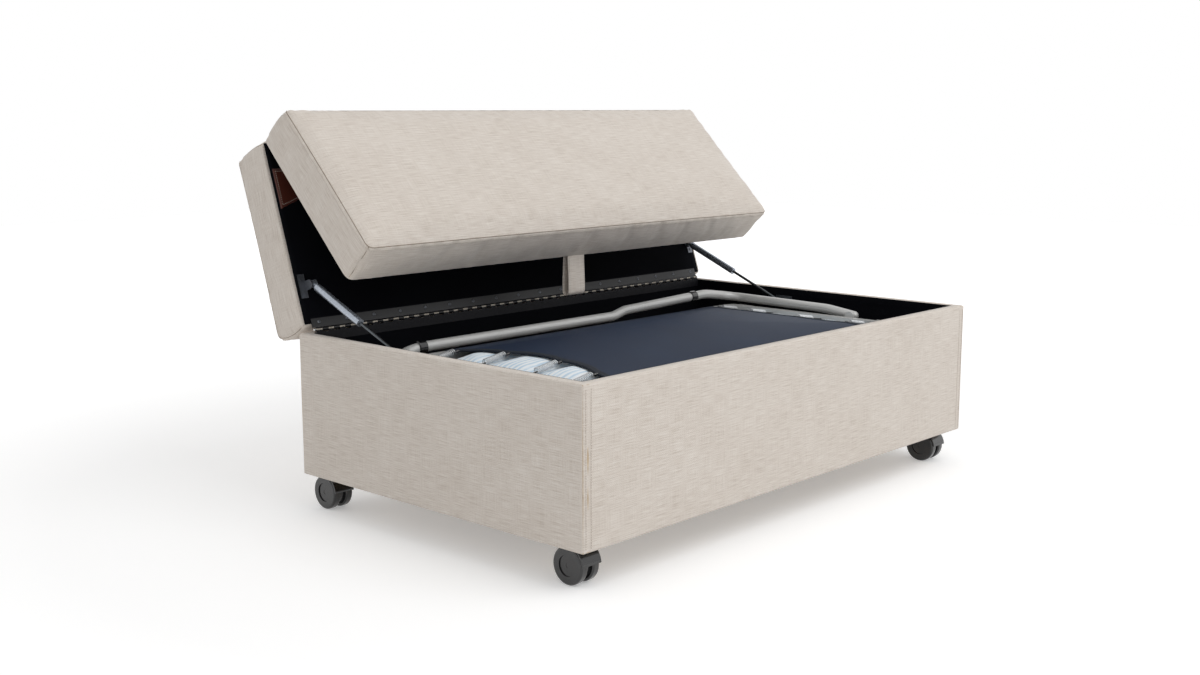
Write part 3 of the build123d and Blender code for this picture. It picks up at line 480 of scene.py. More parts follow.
def joinLoops(loops, closed=False):
    # quads between closed rings of points, with a cap at both ends where closed
    count = len(loops[0])
    verts = [v for loop in loops for v in loop]
    faces = []
    for level in range(len(loops) - 1):
        low, high = level * count, (level + 1) * count
        for i in range(count):
            j = (i + 1) % count
            faces.append((low + i, low + j, high + j, high + i))
    if closed:
        last = (len(loops) - 1) * count
        faces += [tuple(reversed(range(count))), tuple(range(last, last + count))]
    return verts, faces


def placePiece(piece, matrix):
    piece.data.transform(matrix)
    piece.data.update()


def turnAbout(axis, angle):
    return Matrix.Translation(axis) @ Matrix.Rotation(angle, 4, "X") @ Matrix.Translation(-axis)


closedFold = lidAxis - Vector((0, lidReach, 0))
openRear = turnAbout(lidAxis, -openAngle)
openFront = openRear @ turnAbout(closedFold, foldAngle)


def ripple(point, size, depth, seed):
    return depth * noise.noise(Vector(point) / size + Vector((seed, seed * 2.3, seed * 3.1)))


def bell(distance, reach):
    return math.exp(-(distance / reach) ** 2)


# Rows of points made into shapes, and baked

def lineObject(name, rows, matrix):
    curve = bpy.data.curves.new(name, "CURVE")
    curve.dimensions = "3D"
    for row in rows:
        spline = curve.splines.new("POLY")
        spline.points.add(len(row) - 1)
        for point, place in zip(spline.points, row):
            point.co = (*(matrix @ Vector(place)), 1)
    return linkPiece(name, curve)


def bake(source):
    graph = bpy.context.evaluated_depsgraph_get()
    mesh = bpy.data.meshes.new_from_object(source.evaluated_get(graph), depsgraph=graph)
    bpy.data.objects.remove(source)
    return mesh


def newTree(name, sockets):
    # an empty node group with geometry in and out and the given inputs
    tree = bpy.data.node_groups.new(name, "GeometryNodeTree")
    for title, kind in {"Geometry": "Geometry", **sockets}.items():
        tree.interface.new_socket(title, in_out="INPUT", socket_type="NodeSocket" + kind)
    tree.interface.new_socket("Geometry", in_out="OUTPUT", socket_type="NodeSocketGeometry")
    return tree


def useTree(source, tree, values):
    modifier = source.modifiers.new(tree.name, "NODES")
    modifier.node_group = tree
    for item in tree.interface.items_tree:
        if item.in_out == "INPUT" and item.name in values:
            modifier[item.identifier] = values[item.name]


stitchDict = dict(pitch=0.0042, share=0.62, radius=0.00045, sides=5)


def stitchTree():
    # short straight stitches laid end to end along a line
    tree = newTree("stitchRow", dict(Pitch="Float", Length="Float", Radius="Float", Thread="Material"))
    add = tree.nodes.new
    start, end = add("NodeGroupInput"), add("NodeGroupOutput")
    points, stitch = add("GeometryNodeCurveToPoints"), add("GeometryNodeMeshCylinder")
    copies, real = add("GeometryNodeInstanceOnPoints"), add("GeometryNodeRealizeInstances")
    finish = add("GeometryNodeSetMaterial")
    points.mode = "LENGTH"
    stitch.inputs["Vertices"].default_value = stitchDict["sides"]
    wire(tree, (start, "Geometry", points, "Curve"), (start, "Pitch", points, "Length"),
         (start, "Radius", stitch, "Radius"), (start, "Length", stitch, "Depth"),
         (points, "Points", copies, "Points"), (points, "Rotation", copies, "Rotation"),
         (stitch, "Mesh", copies, "Instance"), (copies, "Instances", real, "Geometry"),
         (real, "Geometry", finish, "Geometry"), (start, "Thread", finish, "Material"),
         (finish, "Geometry", end, "Geometry"))
    return tree


stitchGroup = stitchTree()


def stitchRows(name, rows, matrix, body, thread="thread", pitch=stitchDict["pitch"],
               radius=stitchDict["radius"]):
    source = lineObject(name + "Line", rows, matrix)
    useTree(source, stitchGroup, {"Pitch": pitch, "Length": pitch * stitchDict["share"], "Radius": radius,
                                  "Thread": materials[thread]})
    mesh = bake(source)
    if not mesh.materials:
        mesh.materials.append(materials[thread])
    settle(linkPiece(name, mesh), body)


seamRadius = 0.0007


def paintedSeamShade(name, rows, matrix, body):
    # painted shade: a thin dark tube sunk in the groove where two cloth panels meet, standing in for the shade of
    # the seam
    source = lineObject(name + "Line", rows, matrix)
    source.data.bevel_depth = seamRadius
    source.data.bevel_resolution = 1
    mesh = bake(source)
    mesh.materials.clear()
    mesh.materials.append(materials["seamShade"])
    settle(linkPiece(name, mesh), body)


# Upholstered cover of the box

coverDict = dict(
    thickness=0.0014, cornerRadius=0.005, leastRadius=0.002, topRadius=0.0045, bottomRadius=0.0045,
    topWidth=0.0205, rollIn=0.0008, rollDrop=0.0006, innerDrop=0.004, hemWidth=0.03, hemRise=0.0004,
    seamOffset=0.013, seamDepth=0.0007, seamWidth=0.0024, waviness=0.0007, waveSize=0.22, waveShift=0.6,
    puckerDepth=0.00035, puckerPitch=0.021, puckerReach=0.012, puckerSize=0.05, wallMargin=0.002,
    cornerSteps=8, lengthSteps=150, depthSteps=92, wallSteps=16, rollSteps=6,
    stitchOffsets=(0.006, -0.006), stitchOut=0.0001, stitchLow=0.008, stitchHigh=0.01)

coverSeams = [(side, edge) for side in ("front", "back")
              for edge in (boxLow.x + coverDict["seamOffset"], boxHigh.x - coverDict["seamOffset"])]


def coverProfile():
    # inset from the outside and height, from the inner top edge over the roll and down to the hem
    s = coverDict
    top, bottom = boxHigh.z, boxLow.z
    wall = top - bottom - s["topRadius"] - s["bottomRadius"]
    quarter = [math.pi / 2 * step / s["rollSteps"] for step in range(s["rollSteps"] + 1)]
    profile = [(s["topWidth"], top - s["innerDrop"]), (s["topWidth"] - s["rollIn"], top - s["rollDrop"])]
    arcs = [(1 - math.sin(angle), 1 - math.cos(angle)) for angle in quarter]
    profile += [(s["topRadius"] * inner, top - s["topRadius"] * down) for inner, down in arcs]
    profile += [(0, top - s["topRadius"] - wall * step / s["wallSteps"]) for step in range(1, s["wallSteps"])]
    profile += [(s["bottomRadius"] * inner, bottom + s["bottomRadius"] * up) for up, inner in arcs]
    return profile + [(s["hemWidth"], bottom + s["hemRise"])]


def coverWave(point, seed):
    s = coverDict
    return ripple(point, s["waveSize"], s["waviness"], seed) - s["waviness"] * s["waveShift"]


def shapeCoverPoint(point):
    # soft waves in the wall and a groove along each corner seam
    s = coverDict
    onFront = point.y < boxLow.y + s["wallMargin"]
    onBack = point.y > boxHigh.y - s["wallMargin"]
    height = (point.z - boxLow.z) / boxSize.z
    calm = max(0.0, min(1.0, 4 * height * (1 - height)))
    if onFront or onBack:
        way = -1 if onFront else 1
        point.y += way * calm * coverWave(point, 3)
        for side, x in coverSeams:
            if (side == "front") == onFront:
                point.y -= way * s["seamDepth"] * bell(point.x - x, s["seamWidth"])
                shift = 2 * ripple(point, s["puckerSize"], 1.0, 7)
                tuck = 0.5 + 0.5 * math.sin(2 * math.pi * point.z / s["puckerPitch"] + shift)
                point.y -= way * s["puckerDepth"] * tuck * bell(point.x - x, s["puckerReach"])
    elif abs(point.x - boxMiddle.x) > boxSize.x / 2 - s["wallMargin"]:
        way = 1 if point.x > boxMiddle.x else -1
        point.x += way * calm * coverWave(point, 5)


def makeCover():
    s = coverDict
    loops = []
    for inset, height in coverProfile():
        flat = roundedLoop(boxLow.x + inset, boxHigh.x - inset, boxLow.y + inset, boxHigh.y - inset,
                           max(s["leastRadius"], s["cornerRadius"] - inset), s["cornerSteps"],
                           (s["depthSteps"], s["lengthSteps"]))
        loops.append([Vector((p.x, p.y, height)) for p in flat])
    for loop in loops:
        for point in loop:
            shapeCoverPoint(point)
    piece = newPiece("baseUpholstery", *joinLoops(loops), "linen")
    boxUv(piece)
    thicken(piece, s["thickness"], -1)
    recalcFaces(piece)
    settle(piece, "base", "base_cover")
    rows = []
    for side, x in coverSeams:
        y = boxLow.y - s["stitchOut"] if side == "front" else boxHigh.y + s["stitchOut"]
        rows += [[(x + offset, y, z) for z in (boxLow.z + s["stitchLow"], boxHigh.z - s["stitchHigh"])]
                 for offset in s["stitchOffsets"]]
    stitchRows("baseStitches", rows, Matrix(), "base")


# Soft boxes, the start of every pad and mattress

edgeShares = (0.0, 0.18, 0.42, 0.7, 1.0)


def spread(low, high, step, near):
    # places from low to high, closer together at both ends
    ends = [share * near for share in edgeShares]
    count = max(2, round((high - low - 2 * near) / step))
    inside = [low + near + (high - low - 2 * near) * i / count for i in range(1, count)]
    return [low + e for e in ends] + inside + [high - e for e in reversed(ends)]


def roundPlan(x, y, xs, ys, radius):
    cx = min(max(x, xs[0] + radius), xs[-1] - radius)
    cy = min(max(y, ys[0] + radius), ys[-1] - radius)
    dx, dy = x - cx, y - cy
    if abs(dx) < 1e-9 or abs(dy) < 1e-9:
        return x, y
    scale = max(abs(dx), abs(dy)) / math.hypot(dx, dy)
    return cx + dx * scale, cy + dy * scale


def softBox(name, xs, ys, zs, radius, roll, drop, material):
    # a closed box of quads with round corners, whose top rises from its seam in a soft roll
    keys, verts, faces = {}, [], []
    last = (len(xs) - 1, len(ys) - 1, len(zs) - 1)

    def corner(i, j, k):
        if (i, j, k) not in keys:
            x, y = roundPlan(xs[i], ys[j], xs, ys, radius)
            edge = min(xs[i] - xs[0], xs[-1] - xs[i], ys[j] - ys[0], ys[-1] - ys[j])
            z = zs[k]
            if k == last[2]:
                z += drop * (1 - (1 - min(1.0, edge / roll)) ** 2)
            keys[(i, j, k)] = len(verts)
            verts.append(Vector((x, y, z)))
        return keys[(i, j, k)]

    for axis in range(3):
        first, second = [a for a in range(3) if a != axis]
        for side in (0, last[axis]):
            for a in range(last[first]):
                for b in range(last[second]):
                    ring = []
                    for da, db in ((0, 0), (1, 0), (1, 1), (0, 1)):
                        place = [0, 0, 0]
                        place[axis], place[first], place[second] = side, a + da, b + db
                        ring.append(corner(*place))
                    faces.append(ring)
    piece = newPiece(name, verts, faces, material)
    recalcFaces(piece)
    return piece, keys, last


def ringKeys(last, k):
    nx, ny = last[0], last[1]
    return ([(i, 0, k) for i in range(nx)] + [(nx, j, k) for j in range(ny)]
            + [(i, ny, k) for i in range(nx, 0, -1)] + [(0, j, k) for j in range(ny, 0, -1)])


swellDict = dict(pressure=4.0, frames=20, quality=4, stiffness=12.0, bending=0.8, mass=0.25, slack=-0.012)


def swell(piece, keys, last, cap):
    # inflates the cover with cloth simulation, held at its seam and underside, and caps how far it moves
    s = swellDict
    held = {keys[key] for key in ringKeys(last, last[2])}
    held |= {index for (i, j, k), index in keys.items() if k == 0}
    scene = bpy.context.scene
    group = piece.vertex_groups.new(name="held")
    group.add(sorted(held), 1.0, "REPLACE")
    start = [vertex.co.copy() for vertex in piece.data.vertices]
    cloth = piece.modifiers.new("swell", "CLOTH")
    settings = cloth.settings
    settings.quality = s["quality"]
    settings.mass = s["mass"]
    settings.tension_stiffness = settings.compression_stiffness = s["stiffness"]
    settings.bending_stiffness = s["bending"]
    settings.shrink_min = s["slack"]
    settings.use_pressure = True
    settings.uniform_pressure_force = s["pressure"]
    settings.effector_weights.gravity = 0
    settings.vertex_group_mass = "held"
    cloth.collision_settings.use_collision = False
    cloth.point_cache.frame_start, cloth.point_cache.frame_end = 1, s["frames"]
    for step in range(1, s["frames"] + 1):
        scene.frame_set(step)
    swollen = piece.evaluated_get(bpy.context.evaluated_depsgraph_get()).to_mesh()
    ends = [vertex.co.copy() for vertex in swollen.vertices]
    piece.modifiers.remove(cloth)
    piece.vertex_groups.remove(group)
    for vertex, was, now in zip(piece.data.vertices, start, ends):
        move = now - was
        if move.length > cap:
            move *= cap / move.length
        vertex.co = was + move
    scene.frame_set(1)
    print("swollen", piece.name)


def smoothOnce(piece):
    rounder = piece.modifiers.new("rounder", "SUBSURF")
    rounder.levels = rounder.render_levels = 1


# Padded halves of the lid

padDict = dict(
    height=0.093, crown=0.0085, half=0.59, cornerRadius=0.015, seamDrop=0.0065, roll=0.016, near=0.024,
    step=0.0105, under=0.0008, faceLift=0.0055, parting=0.00125, frontLength=0.35, sideDraw=0.0016,
    cap=0.0045, footRows=(0.0, 0.003, 0.008), headRows=(0.006, 0.0025, 0.0), wallRows=7,
    foldInset=0.016, foldDraw=1.6, riseReach=1.6, rearSetback=0.0095, rearBulge=0.0045, frontBulge=0.0035,
    seamDepth=0.0019, cornerSeam=0.0013, stitchDrop=0.0033, stitchOut=0.0012, fill=0.9)

tuckDict = dict(
    wave=0.0008, waveSize=0.17, fineShare=0.4, fineSize=0.055, pucker=0.00075, pitch=0.019,
    shiftSize=0.07, reach=0.026, cornerReach=0.09, calmShare=0.25, drop=0.3, endReach=0.3,
    endShares=(0.4, 0.6), seamSwell=0.1)


def finishPad(piece, keys, last, low, middle, depth, seed):
    # seam grooves, corner seams, puckers along the seams and slow waves in the cloth
    s, t = padDict, tuckDict
    verts = piece.data.vertices
    for (i, j, k), index in keys.items():
        point = verts[index].co
        side = Vector((0, 0, 0))
        if i in (0, last[0]):
            side.x = 1 if i else -1
        if j in (0, last[1]):
            side.y = 1 if j else -1
        if side.length > 0:
            side.normalize()
        height = (point.z - low) / s["height"]
        ends, sides = s["half"] - abs(point.x), depth - abs(point.y - middle)
        alongX = abs(side.y) > abs(side.x)
        fade = min(ends, t["endReach"]) / t["endReach"] if alongX else 1.0
        wave = ripple(point, t["waveSize"], t["wave"], seed)
        wave += ripple(point, t["fineSize"], t["wave"] * t["fineShare"], seed + 9)
        shift = 4 * ripple(point, t["shiftSize"], 1.0, seed + 3)
        tuck = math.sin(2 * math.pi * (point.x if alongX else point.y) / t["pitch"] + shift)
        pucker = t["pucker"] * tuck * (t["calmShare"] + bell(math.hypot(ends, sides), t["cornerReach"]))
        if k == last[2]:
            if side.length > 0:
                point -= side * s["seamDepth"]
            else:
                point.z += wave + pucker * bell(min(ends, sides), t["reach"])
        elif k > 0:
            calm = math.sin(math.pi * min(1.0, max(0.0, height)))
            held, freed = t["endShares"]
            point += side * calm * (wave + pucker * bell(1 - height, t["drop"]) * (held + freed * fade))
            if i in (0, last[0]) and j in (0, last[1]):
                point -= side * s["cornerSeam"]
            if k == last[2] - 1:
                point += side * s["seamDepth"] * t["seamSwell"]


def rearEdgeShape(y, share, middle, depth):
    # the hinge side starts set back, so that it clears the box as it opens
    s = padDict
    near, far = max(0.0, (y - middle) / depth), max(0.0, (middle - y) / depth)
    rise = math.sin(min(1.0, share * s["riseReach"]) * math.pi / 2)
    curve = (s["rearSetback"] + s["rearBulge"]) * rise - s["rearSetback"]
    curve -= s["foldDraw"] * s["foldInset"] * max(0.0, share - 0.5) ** 2
    return curve * near ** 12 + s["foldInset"] * share ** 3 * far ** 12


def frontEdgeShape(y, share, middle, depth):
    near, far = max(0.0, (middle - y) / depth), max(0.0, (y - middle) / depth)
    bulge = -padDict["frontBulge"] * 0.5 * math.sin(math.pi * share) * near ** 12
    return bulge - padDict["foldInset"] * share ** 3 * far ** 12


def makePad(name, y0, y1, edgeShape, node, body, matrix, seed):
    # drawn with the lid closed, then turned open
    s = padDict
    base = lidAxis.z + s["faceLift"]
    low, seam = base - s["under"], base + s["height"] - s["seamDrop"]
    xs = spread(-s["half"], s["half"], s["step"], s["near"])
    ys = spread(y0, y1, s["step"], s["near"])
    foot, head = [low + rise for rise in s["footRows"]], [seam - drop for drop in s["headRows"]]
    zs = foot[:-1] + evenly(foot[-1], head[0], s["wallRows"]) + head[1:]
    piece, keys, last = softBox(name, xs, ys, zs, s["cornerRadius"], s["roll"], s["seamDrop"], "linen")
    depth, middle = (y1 - y0) / 2, (y0 + y1) / 2
    verts = piece.data.vertices
    for (i, j, k), index in keys.items():
        point = verts[index].co
        share = min(1.0, max(0.0, (point.z - low) / s["height"]))
        across, over = min(1.0, abs(point.x) / s["half"]), min(1.0, abs(point.y - middle) / depth)
        if k == last[2]:
            point.z += s["crown"] * (1 - across ** 8) * (1 - over ** 3)
        pull = s["sideDraw"] * (1 - min(across, over) ** 2) * share
        if j in (0, last[1]):
            point.y -= pull * (1 if j else -1)
        if i in (0, last[0]):
            point.x -= pull * (1 if i else -1)
        point.y += edgeShape(point.y, share, middle, depth)
    swell(piece, keys, last, s["cap"])
    finishPad(piece, keys, last, low, middle, depth, seed)
    boxUv(piece)

    def places(ring):
        return [verts[keys[key]].co.copy() for key in ring]

    line = []
    for point in places(ringKeys(last, last[2] - 1)):
        x, y = point.x, point.y - middle
        side = Vector((math.copysign(1, x), 0, 0)) if s["half"] - abs(x) < depth - abs(y) \
            else Vector((0, math.copysign(1, y), 0))
        line.append(point - Vector((0, 0, s["stitchDrop"])) + side * s["stitchOut"])
    seams = [places(ringKeys(last, last[2]) + [(0, 0, last[2])])]
    seams += [places([(i, j, k) for k in range(1, last[2] + 1)]) for i in (0, last[0]) for j in (0, last[1])]
    placePiece(piece, matrix)
    smoothOnce(piece)
    settle(piece, body, node)
    stitchRows(name + "Stitches", [line + line[:1]], matrix, body)
    # dark tubes along the seams, painted shade for the grooves
    paintedSeamShade(name + "PaintedSeamShade", seams, matrix, body)


def makePads():
    s = padDict
    makePad("lidRearPad", closedFold.y + s["parting"], lidAxis.y, rearEdgeShape, "lid_rear_pad", "lid_rear",
            openRear, 4)
    makePad("lidFrontPad", closedFold.y - s["frontLength"], closedFold.y - s["parting"], frontEdgeShape,
            "lid_front_pad", "lid_front", openFront, 11)


# Flat sheets: dust covers, patches, lining and hidden decks

def clothGrid(name, xs, ys, shape, material, thickness, matrix=Matrix()):
    # a sheet over a grid of places; shape(x, y) gives each point
    verts = [shape(x, y) for y in ys for x in xs]
    piece = newPiece(name, verts, gridFaces(len(xs), len(ys)), material, [(x, y) for y in ys for x in xs])
    placePiece(piece, matrix)
    thicken(piece, thickness)
    return piece


dustDict = dict(inset=0.0055, lift=0.00125, thickness=0.0005, wave=0.00012, waveSize=0.09, foldFree=0.006,
                frontFree=0.011, rearFree=0.0125, columns=110, rows=36)


def makeDustCovers():
    s, p = dustDict, padDict
    base = lidAxis.z + p["faceLift"]
    reach = p["half"] - s["inset"]
    rows = [("lidRearDustCover", "lid_rear_dust_cover", "lid_rear", "lid_rear_board",
             closedFold.y + s["foldFree"], lidAxis.y - s["rearFree"], openRear, 5),
            ("lidFrontDustCover", "lid_front_dust_cover", "lid_front", "lid_front_board",
             closedFold.y - p["frontLength"] + s["frontFree"], closedFold.y - s["foldFree"], openFront, 8)]
    for name, node, body, board, y0, y1, matrix, seed in rows:
        def shape(x, y):
            return Vector((x, y, base - s["lift"] + ripple((x, y, 0), s["waveSize"], s["wave"], seed)))
        piece = clothGrid(name, evenly(-reach, reach, s["columns"]), evenly(y0, y1, s["rows"]), shape,
                          "blackCloth", s["thickness"], matrix)
        settle(piece, body, node)


patchDict = dict(width=0.082, height=0.078, slant=0.030, end=0.579, start=0.05625, lift=0.0019,
                 thickness=0.0007, puff=0.0002, wave=0.00012, waveSize=0.4, steps=14, stitchMargin=0.07,
                 stitchOut=0.0001)


def makePatches():
    s = patchDict
    base = lidAxis.z + padDict["faceLift"]
    y0 = closedFold.y + s["start"]
    near, far = s["stitchMargin"], 1 - s["stitchMargin"]
    rows = []
    for way, side in ((-1, "left"), (1, "right")):
        def shape(u, v):
            puff = s["puff"] * math.sin(math.pi * u) * math.sin(math.pi * v)
            wave = abs(ripple((u, v, way), s["waveSize"], s["wave"], 6))
            return Vector((way * (s["end"] - s["width"] * u), y0 + (s["height"] - s["slant"] * u) * v,
                           base - s["lift"] - puff - wave))
        shares = evenly(0, 1, s["steps"])
        piece = clothGrid(side + "FoldPatch", shares, shares, shape, "brownVinyl", s["thickness"], openRear)
        for uv in piece.data.uv_layers["cloth"].data:
            uv.uv = (uv.uv[0] * s["width"], uv.uv[1] * s["height"])
        settle(piece, "lid_rear", "fold_reinforcement_patches" if way < 0 else None)
        rows.append([shape(u, v) - Vector((0, 0, s["thickness"] / 2 + s["stitchOut"]))
                     for u, v in ((near, near), (far, near), (far, far), (near, far), (near, near))])
    stitchRows("patchStitches", rows, openRear, "lid_rear")


liningDict = dict(inner=0.0008, thickness=0.0007, rimDrop=0.0006, footRise=0.0005, hemDepth=0.0007,
                  hemRows=(0.0, 0.002, 0.006, 0.0125, 0.014, 0.0155), rimShare=0.35, sag=0.0009, sagSize=0.12,
                  rows=26, acrossStep=0.012)


def makeLining():
    # black cloth on the four inner walls, folded over at the rim and hemmed just below it
    s = liningDict
    low, high = corners("base_lining")
    x0, x1, y0, y1 = low.x + s["inner"], high.x - s["inner"], low.y + s["inner"], high.y - s["inner"]
    top, bottom = high.z - s["rimDrop"], low.z + s["footRise"]
    ring = []
    turns = [Vector(turn) for turn in ((x0, y0), (x1, y0), (x1, y1), (x0, y1))]
    for start, end in zip(turns, turns[1:] + turns[:1]):
        count = round((end - start).length / s["acrossStep"])
        ring += [start.lerp(end, i / count) for i in range(count)]
    heights = [top - drop for drop in s["hemRows"]]
    heights += evenly(heights[-1], bottom, s["rows"])[1:]
    loops = []
    for level, z in enumerate(heights):
        loop = []
        for point in ring:
            inwards = Vector((0, 0))
            if min(abs(point.x - x0), abs(point.x - x1)) < 1e-6:
                inwards.x = 1 if point.x < 0 else -1
            else:
                inwards.y = 1 if abs(point.y - y0) < 1e-6 else -1
            push = s["sag"] * (0.5 + ripple((point.x, point.y, z), s["sagSize"], 0.5, 9))
            if level < len(s["hemRows"]) - 1:
                push = s["hemDepth"] * (1 if level else s["rimShare"])
            loop.append(Vector((*(point + inwards * push), z)))
        loops.append(loop)
    piece = newPiece("boxLining", *joinLoops(loops), "blackCloth")
    boxUv(piece)
    thicken(piece, s["thickness"])
    settle(piece, "base", "base_lining")


# Pull strap: one band, folded into a loop and sewn in under the front edge

strapDict = dict(thickness=0.0021, topHalf=0.0062, belly=0.0086, topDrop=0.002, edge=0.0006, wave=0.0006,
                 waveSize=0.03, foldSteps=10, runSteps=14, columns=6, soft=0.0005, softAngle=math.radians(60),
                 stitchInset=0.004, stitchOut=0.0002, stitchStart=2)


def soften(piece, width, segments):
    bevel = piece.modifiers.new("soften", "BEVEL")
    bevel.width = width
    bevel.segments = segments
    return bevel


def makeStrap():
    s = strapDict
    low, high = corners("pull_strap")
    middle, half = (low.y + high.y) / 2, (high.x - low.x) / 2
    top, bottom = high.z - s["topDrop"], low.z + s["belly"] + s["thickness"] / 2
    run = []
    for share in evenly(0, 1, s["runSteps"]):
        out = s["topHalf"] + (s["belly"] - s["topHalf"]) * math.sin(share * math.pi / 2) ** 1.5
        run.append((out, top - (top - bottom) * share))
    fold = [(s["belly"] * math.cos(angle), bottom - s["belly"] * math.sin(angle))
            for angle in evenly(0, math.pi, s["foldSteps"])[1:-1]]
    path = run + fold + [(-y, z) for y, z in reversed(run)]
    verts, uvs, lengths = [], [], [0.0]
    for (ya, za), (yb, zb) in zip(path, path[1:]):
        lengths.append(lengths[-1] + math.hypot(yb - ya, zb - za))
    for (y, z), length in zip(path, lengths):
        for share in evenly(-1, 1, s["columns"]):
            wave = ripple((share * half, y, z), s["waveSize"], s["wave"], 2)
            verts.append(Vector((share * (half - s["edge"]) + wave, middle + y + wave, z)))
            uvs.append((share * half, length))
    piece = newPiece("pullStrapLoop", verts, gridFaces(s["columns"] + 1, len(path)), "linen", uvs)
    thicken(piece, s["thickness"])
    soften(piece, s["soft"], 1).angle_limit = s["softAngle"]
    settle(piece, "lid_front", "pull_strap")
    out = s["thickness"] / 2 + s["stitchOut"]
    rows = [[(x, middle + way * (y + out), z) for y, z in run[s["stitchStart"]:]]
            for x in (s["stitchInset"] - half, half - s["stitchInset"]) for way in (-1, 1)]
    stitchRows("strapStitches", rows, Matrix(), "lid_front")


# Decks of the folding bed

deckDict = dict(
    side=0.405, bow=0.045, dome=0.0262, domeHalf=0.43, low=0.0012, rise=0.0003, flatShare=0.45,
    thickness=0.0011, pinch=0.005, pinchReach=0.022, pinchOut=0.001, springs=(0.050, 0.163, 0.293, 0.398),
    columns=110, rows=60, overlap=0.013, frameTube=0.018, wave=0.0003, waveSize=0.2, meanHalf=0.378)

hemDict = dict(
    width=0.016, drop=0.0015, edgeShares=(1.0, 0.999, 0.985), lifts=(-0.0009, 0.0008, 0.0011, 0.001, 0.0002),
    endGap=0.004, steps=150, thicknessShare=0.7, stitchInsets=(0.004, 0.013), stitchLift=0.0018,
    stitchPitch=0.0035, stitchRadius=0.0003)

frameLow, frameHigh = corners("mid_frame")
deckFront, deckBack = frameLow.y + deckDict["frameTube"], frameHigh.y - deckDict["frameTube"]
deckMiddle, deckHalf = (deckFront + deckBack) / 2, (deckBack - deckFront) / 2


def arcHeight(offset, half, rise):
    radius = (half ** 2 + rise ** 2) / (2 * rise)
    return math.sqrt(max(0.0, radius ** 2 - offset ** 2)) - (radius - rise)


def nearestSpring(y):
    return min(abs(y - (frameLow.y + place)) for place in deckDict["springs"])


def deckEdge(y):
    # the side edge is bowed between the corners and pulled out a little at each spring
    s = deckDict
    offset = max(-deckHalf, min(deckHalf, y - deckMiddle))
    x = s["side"] - arcHeight(offset, deckHalf, s["bow"])
    return x + s["pinchOut"] - s["pinch"] * (1 - bell(nearestSpring(y), s["pinchReach"]))


def deckPoint(share, y, lift=0.0):
    s = deckDict
    x = share * deckEdge(y)
    offset = max(-deckHalf, min(deckHalf, y - deckMiddle))
    across, along = arcHeight(x, s["domeHalf"], s["dome"]), arcHeight(offset, deckHalf, s["dome"])
    rise = min(across, along) * s["flatShare"] + across * along / s["dome"] * (1 - s["flatShare"])
    return Vector((x, y, frameHigh.z + s["low"] + rise + s["rise"] + lift))


def deckPiece(name, points, wide, rows, material):
    return newPiece(name, points, gridFaces(wide, rows), material, [(v.x, v.y) for v in points])


def makeHem(side, way):
    s = hemDict
    shares = list(s["edgeShares"]) + [1 - (s["width"] + drop) / deckDict["side"] for drop in (0, s["drop"])]
    ys = evenly(deckFront + s["endGap"], deckBack - s["endGap"], s["steps"])
    points = [deckPoint(way * share, y, lift) for y in ys for share, lift in zip(shares, s["lifts"])]
    hem = deckPiece(side + "DeckHem", points, len(shares), len(ys), "navyHem")
    recalcFaces(hem)
    thicken(hem, deckDict["thickness"] * s["thicknessShare"])
    settle(hem, "bed_folded")
    rows = [[deckPoint(way * (1 - inset / deckDict["side"]), y, s["stitchLift"]) for y in ys]
            for inset in s["stitchInsets"]]
    return hem, rows


def makeMiddleDeck():
    s = deckDict
    ys = evenly(deckFront - s["overlap"], deckBack + s["overlap"], s["rows"])
    shares = evenly(-1, 1, s["columns"])
    points = [deckPoint(share, y, ripple((share, y, 0), s["waveSize"], s["wave"], 4))
              for y in ys for share in shares]
    piece = deckPiece("middleDeck", points, len(shares), len(ys), "navyCloth")
    thicken(piece, s["thickness"])
    made = [makeHem(side, way) for way, side in ((-1, "left"), (1, "right"))]
    settle(piece, "bed_folded", "mid_deck")
    stitchRows("deckHemStitches", [row for hem, rows in made for row in rows], Matrix(), "bed_folded",
               "navyThread", hemDict["stitchPitch"], hemDict["stitchRadius"])


flatDeckDict = dict(margin=0.001, columns=60, rows=30, wave=0.0005, waveSize=0.11, thickness=0.0009)


def makeHiddenDecks():
    s = flatDeckDict
    for name, node, body, frameNode in (("headDeck", "head_deck", "bed_head", "head_frame"),
                                        ("footDeck", "foot_deck", "bed_folded", "foot_frame")):
        low, high = corners(node)
        middle = (low.z + high.z) / 2

        def shape(x, y):
            return Vector((x, y, middle + ripple((x, y, 1), s["waveSize"], s["wave"], 3)))
        piece = clothGrid(name, evenly(low.x + s["margin"], high.x - s["margin"], s["columns"]),
                          evenly(low.y + s["margin"], high.y - s["margin"], s["rows"]), shape, "navyCloth",
                          s["thickness"])
        settle(piece, body, node)


# Mattress pieces

mattressDict = dict(
    radius=0.036, near=0.045, step=0.014, shrink=0.0035, seamDrop=0.004, seamMargin=0.001, footRise=0.0006,
    headRoom=0.003, puffRoom=0.0085, rows=5, roll=0.014, cap=0.007, flatCap=0.002, seamDepth=0.0016,
    wave=0.0012, waveSize=0.06, waveDrop=0.0008, channelPitch=0.16, channelShare=0.12, channelDepth=0.0018,
    puffShare=0.3, flatShare=0.6, topGap=0.0004, sideGap=0.0006, fill=0.7)

bulgeDict = dict(start=0.35, end=0.458, endReach=0.04, springReach=0.02, besideDeck=0.004, rise=0.010,
                 deckGap=0.0035)


def betweenSprings(point):
    # 0 under a spring and 1 midway between two
    s = bulgeDict
    if abs(point.x) < s["start"]:
        return 1.0
    outer = min(1.0, max(0.0, (s["end"] - abs(point.x)) / s["endReach"]))
    return (1 - bell(nearestSpring(point.y), s["springReach"])) * outer


def deckUnder(point):
    # the deck's own underside limits the mattress where it lies over it
    edge = deckEdge(point.y)
    if abs(point.x) > edge + bulgeDict["besideDeck"]:
        return frameHigh.z + bulgeDict["rise"]
    return deckPoint(max(-1.0, min(1.0, point.x / edge)), point.y).z - bulgeDict["deckGap"]


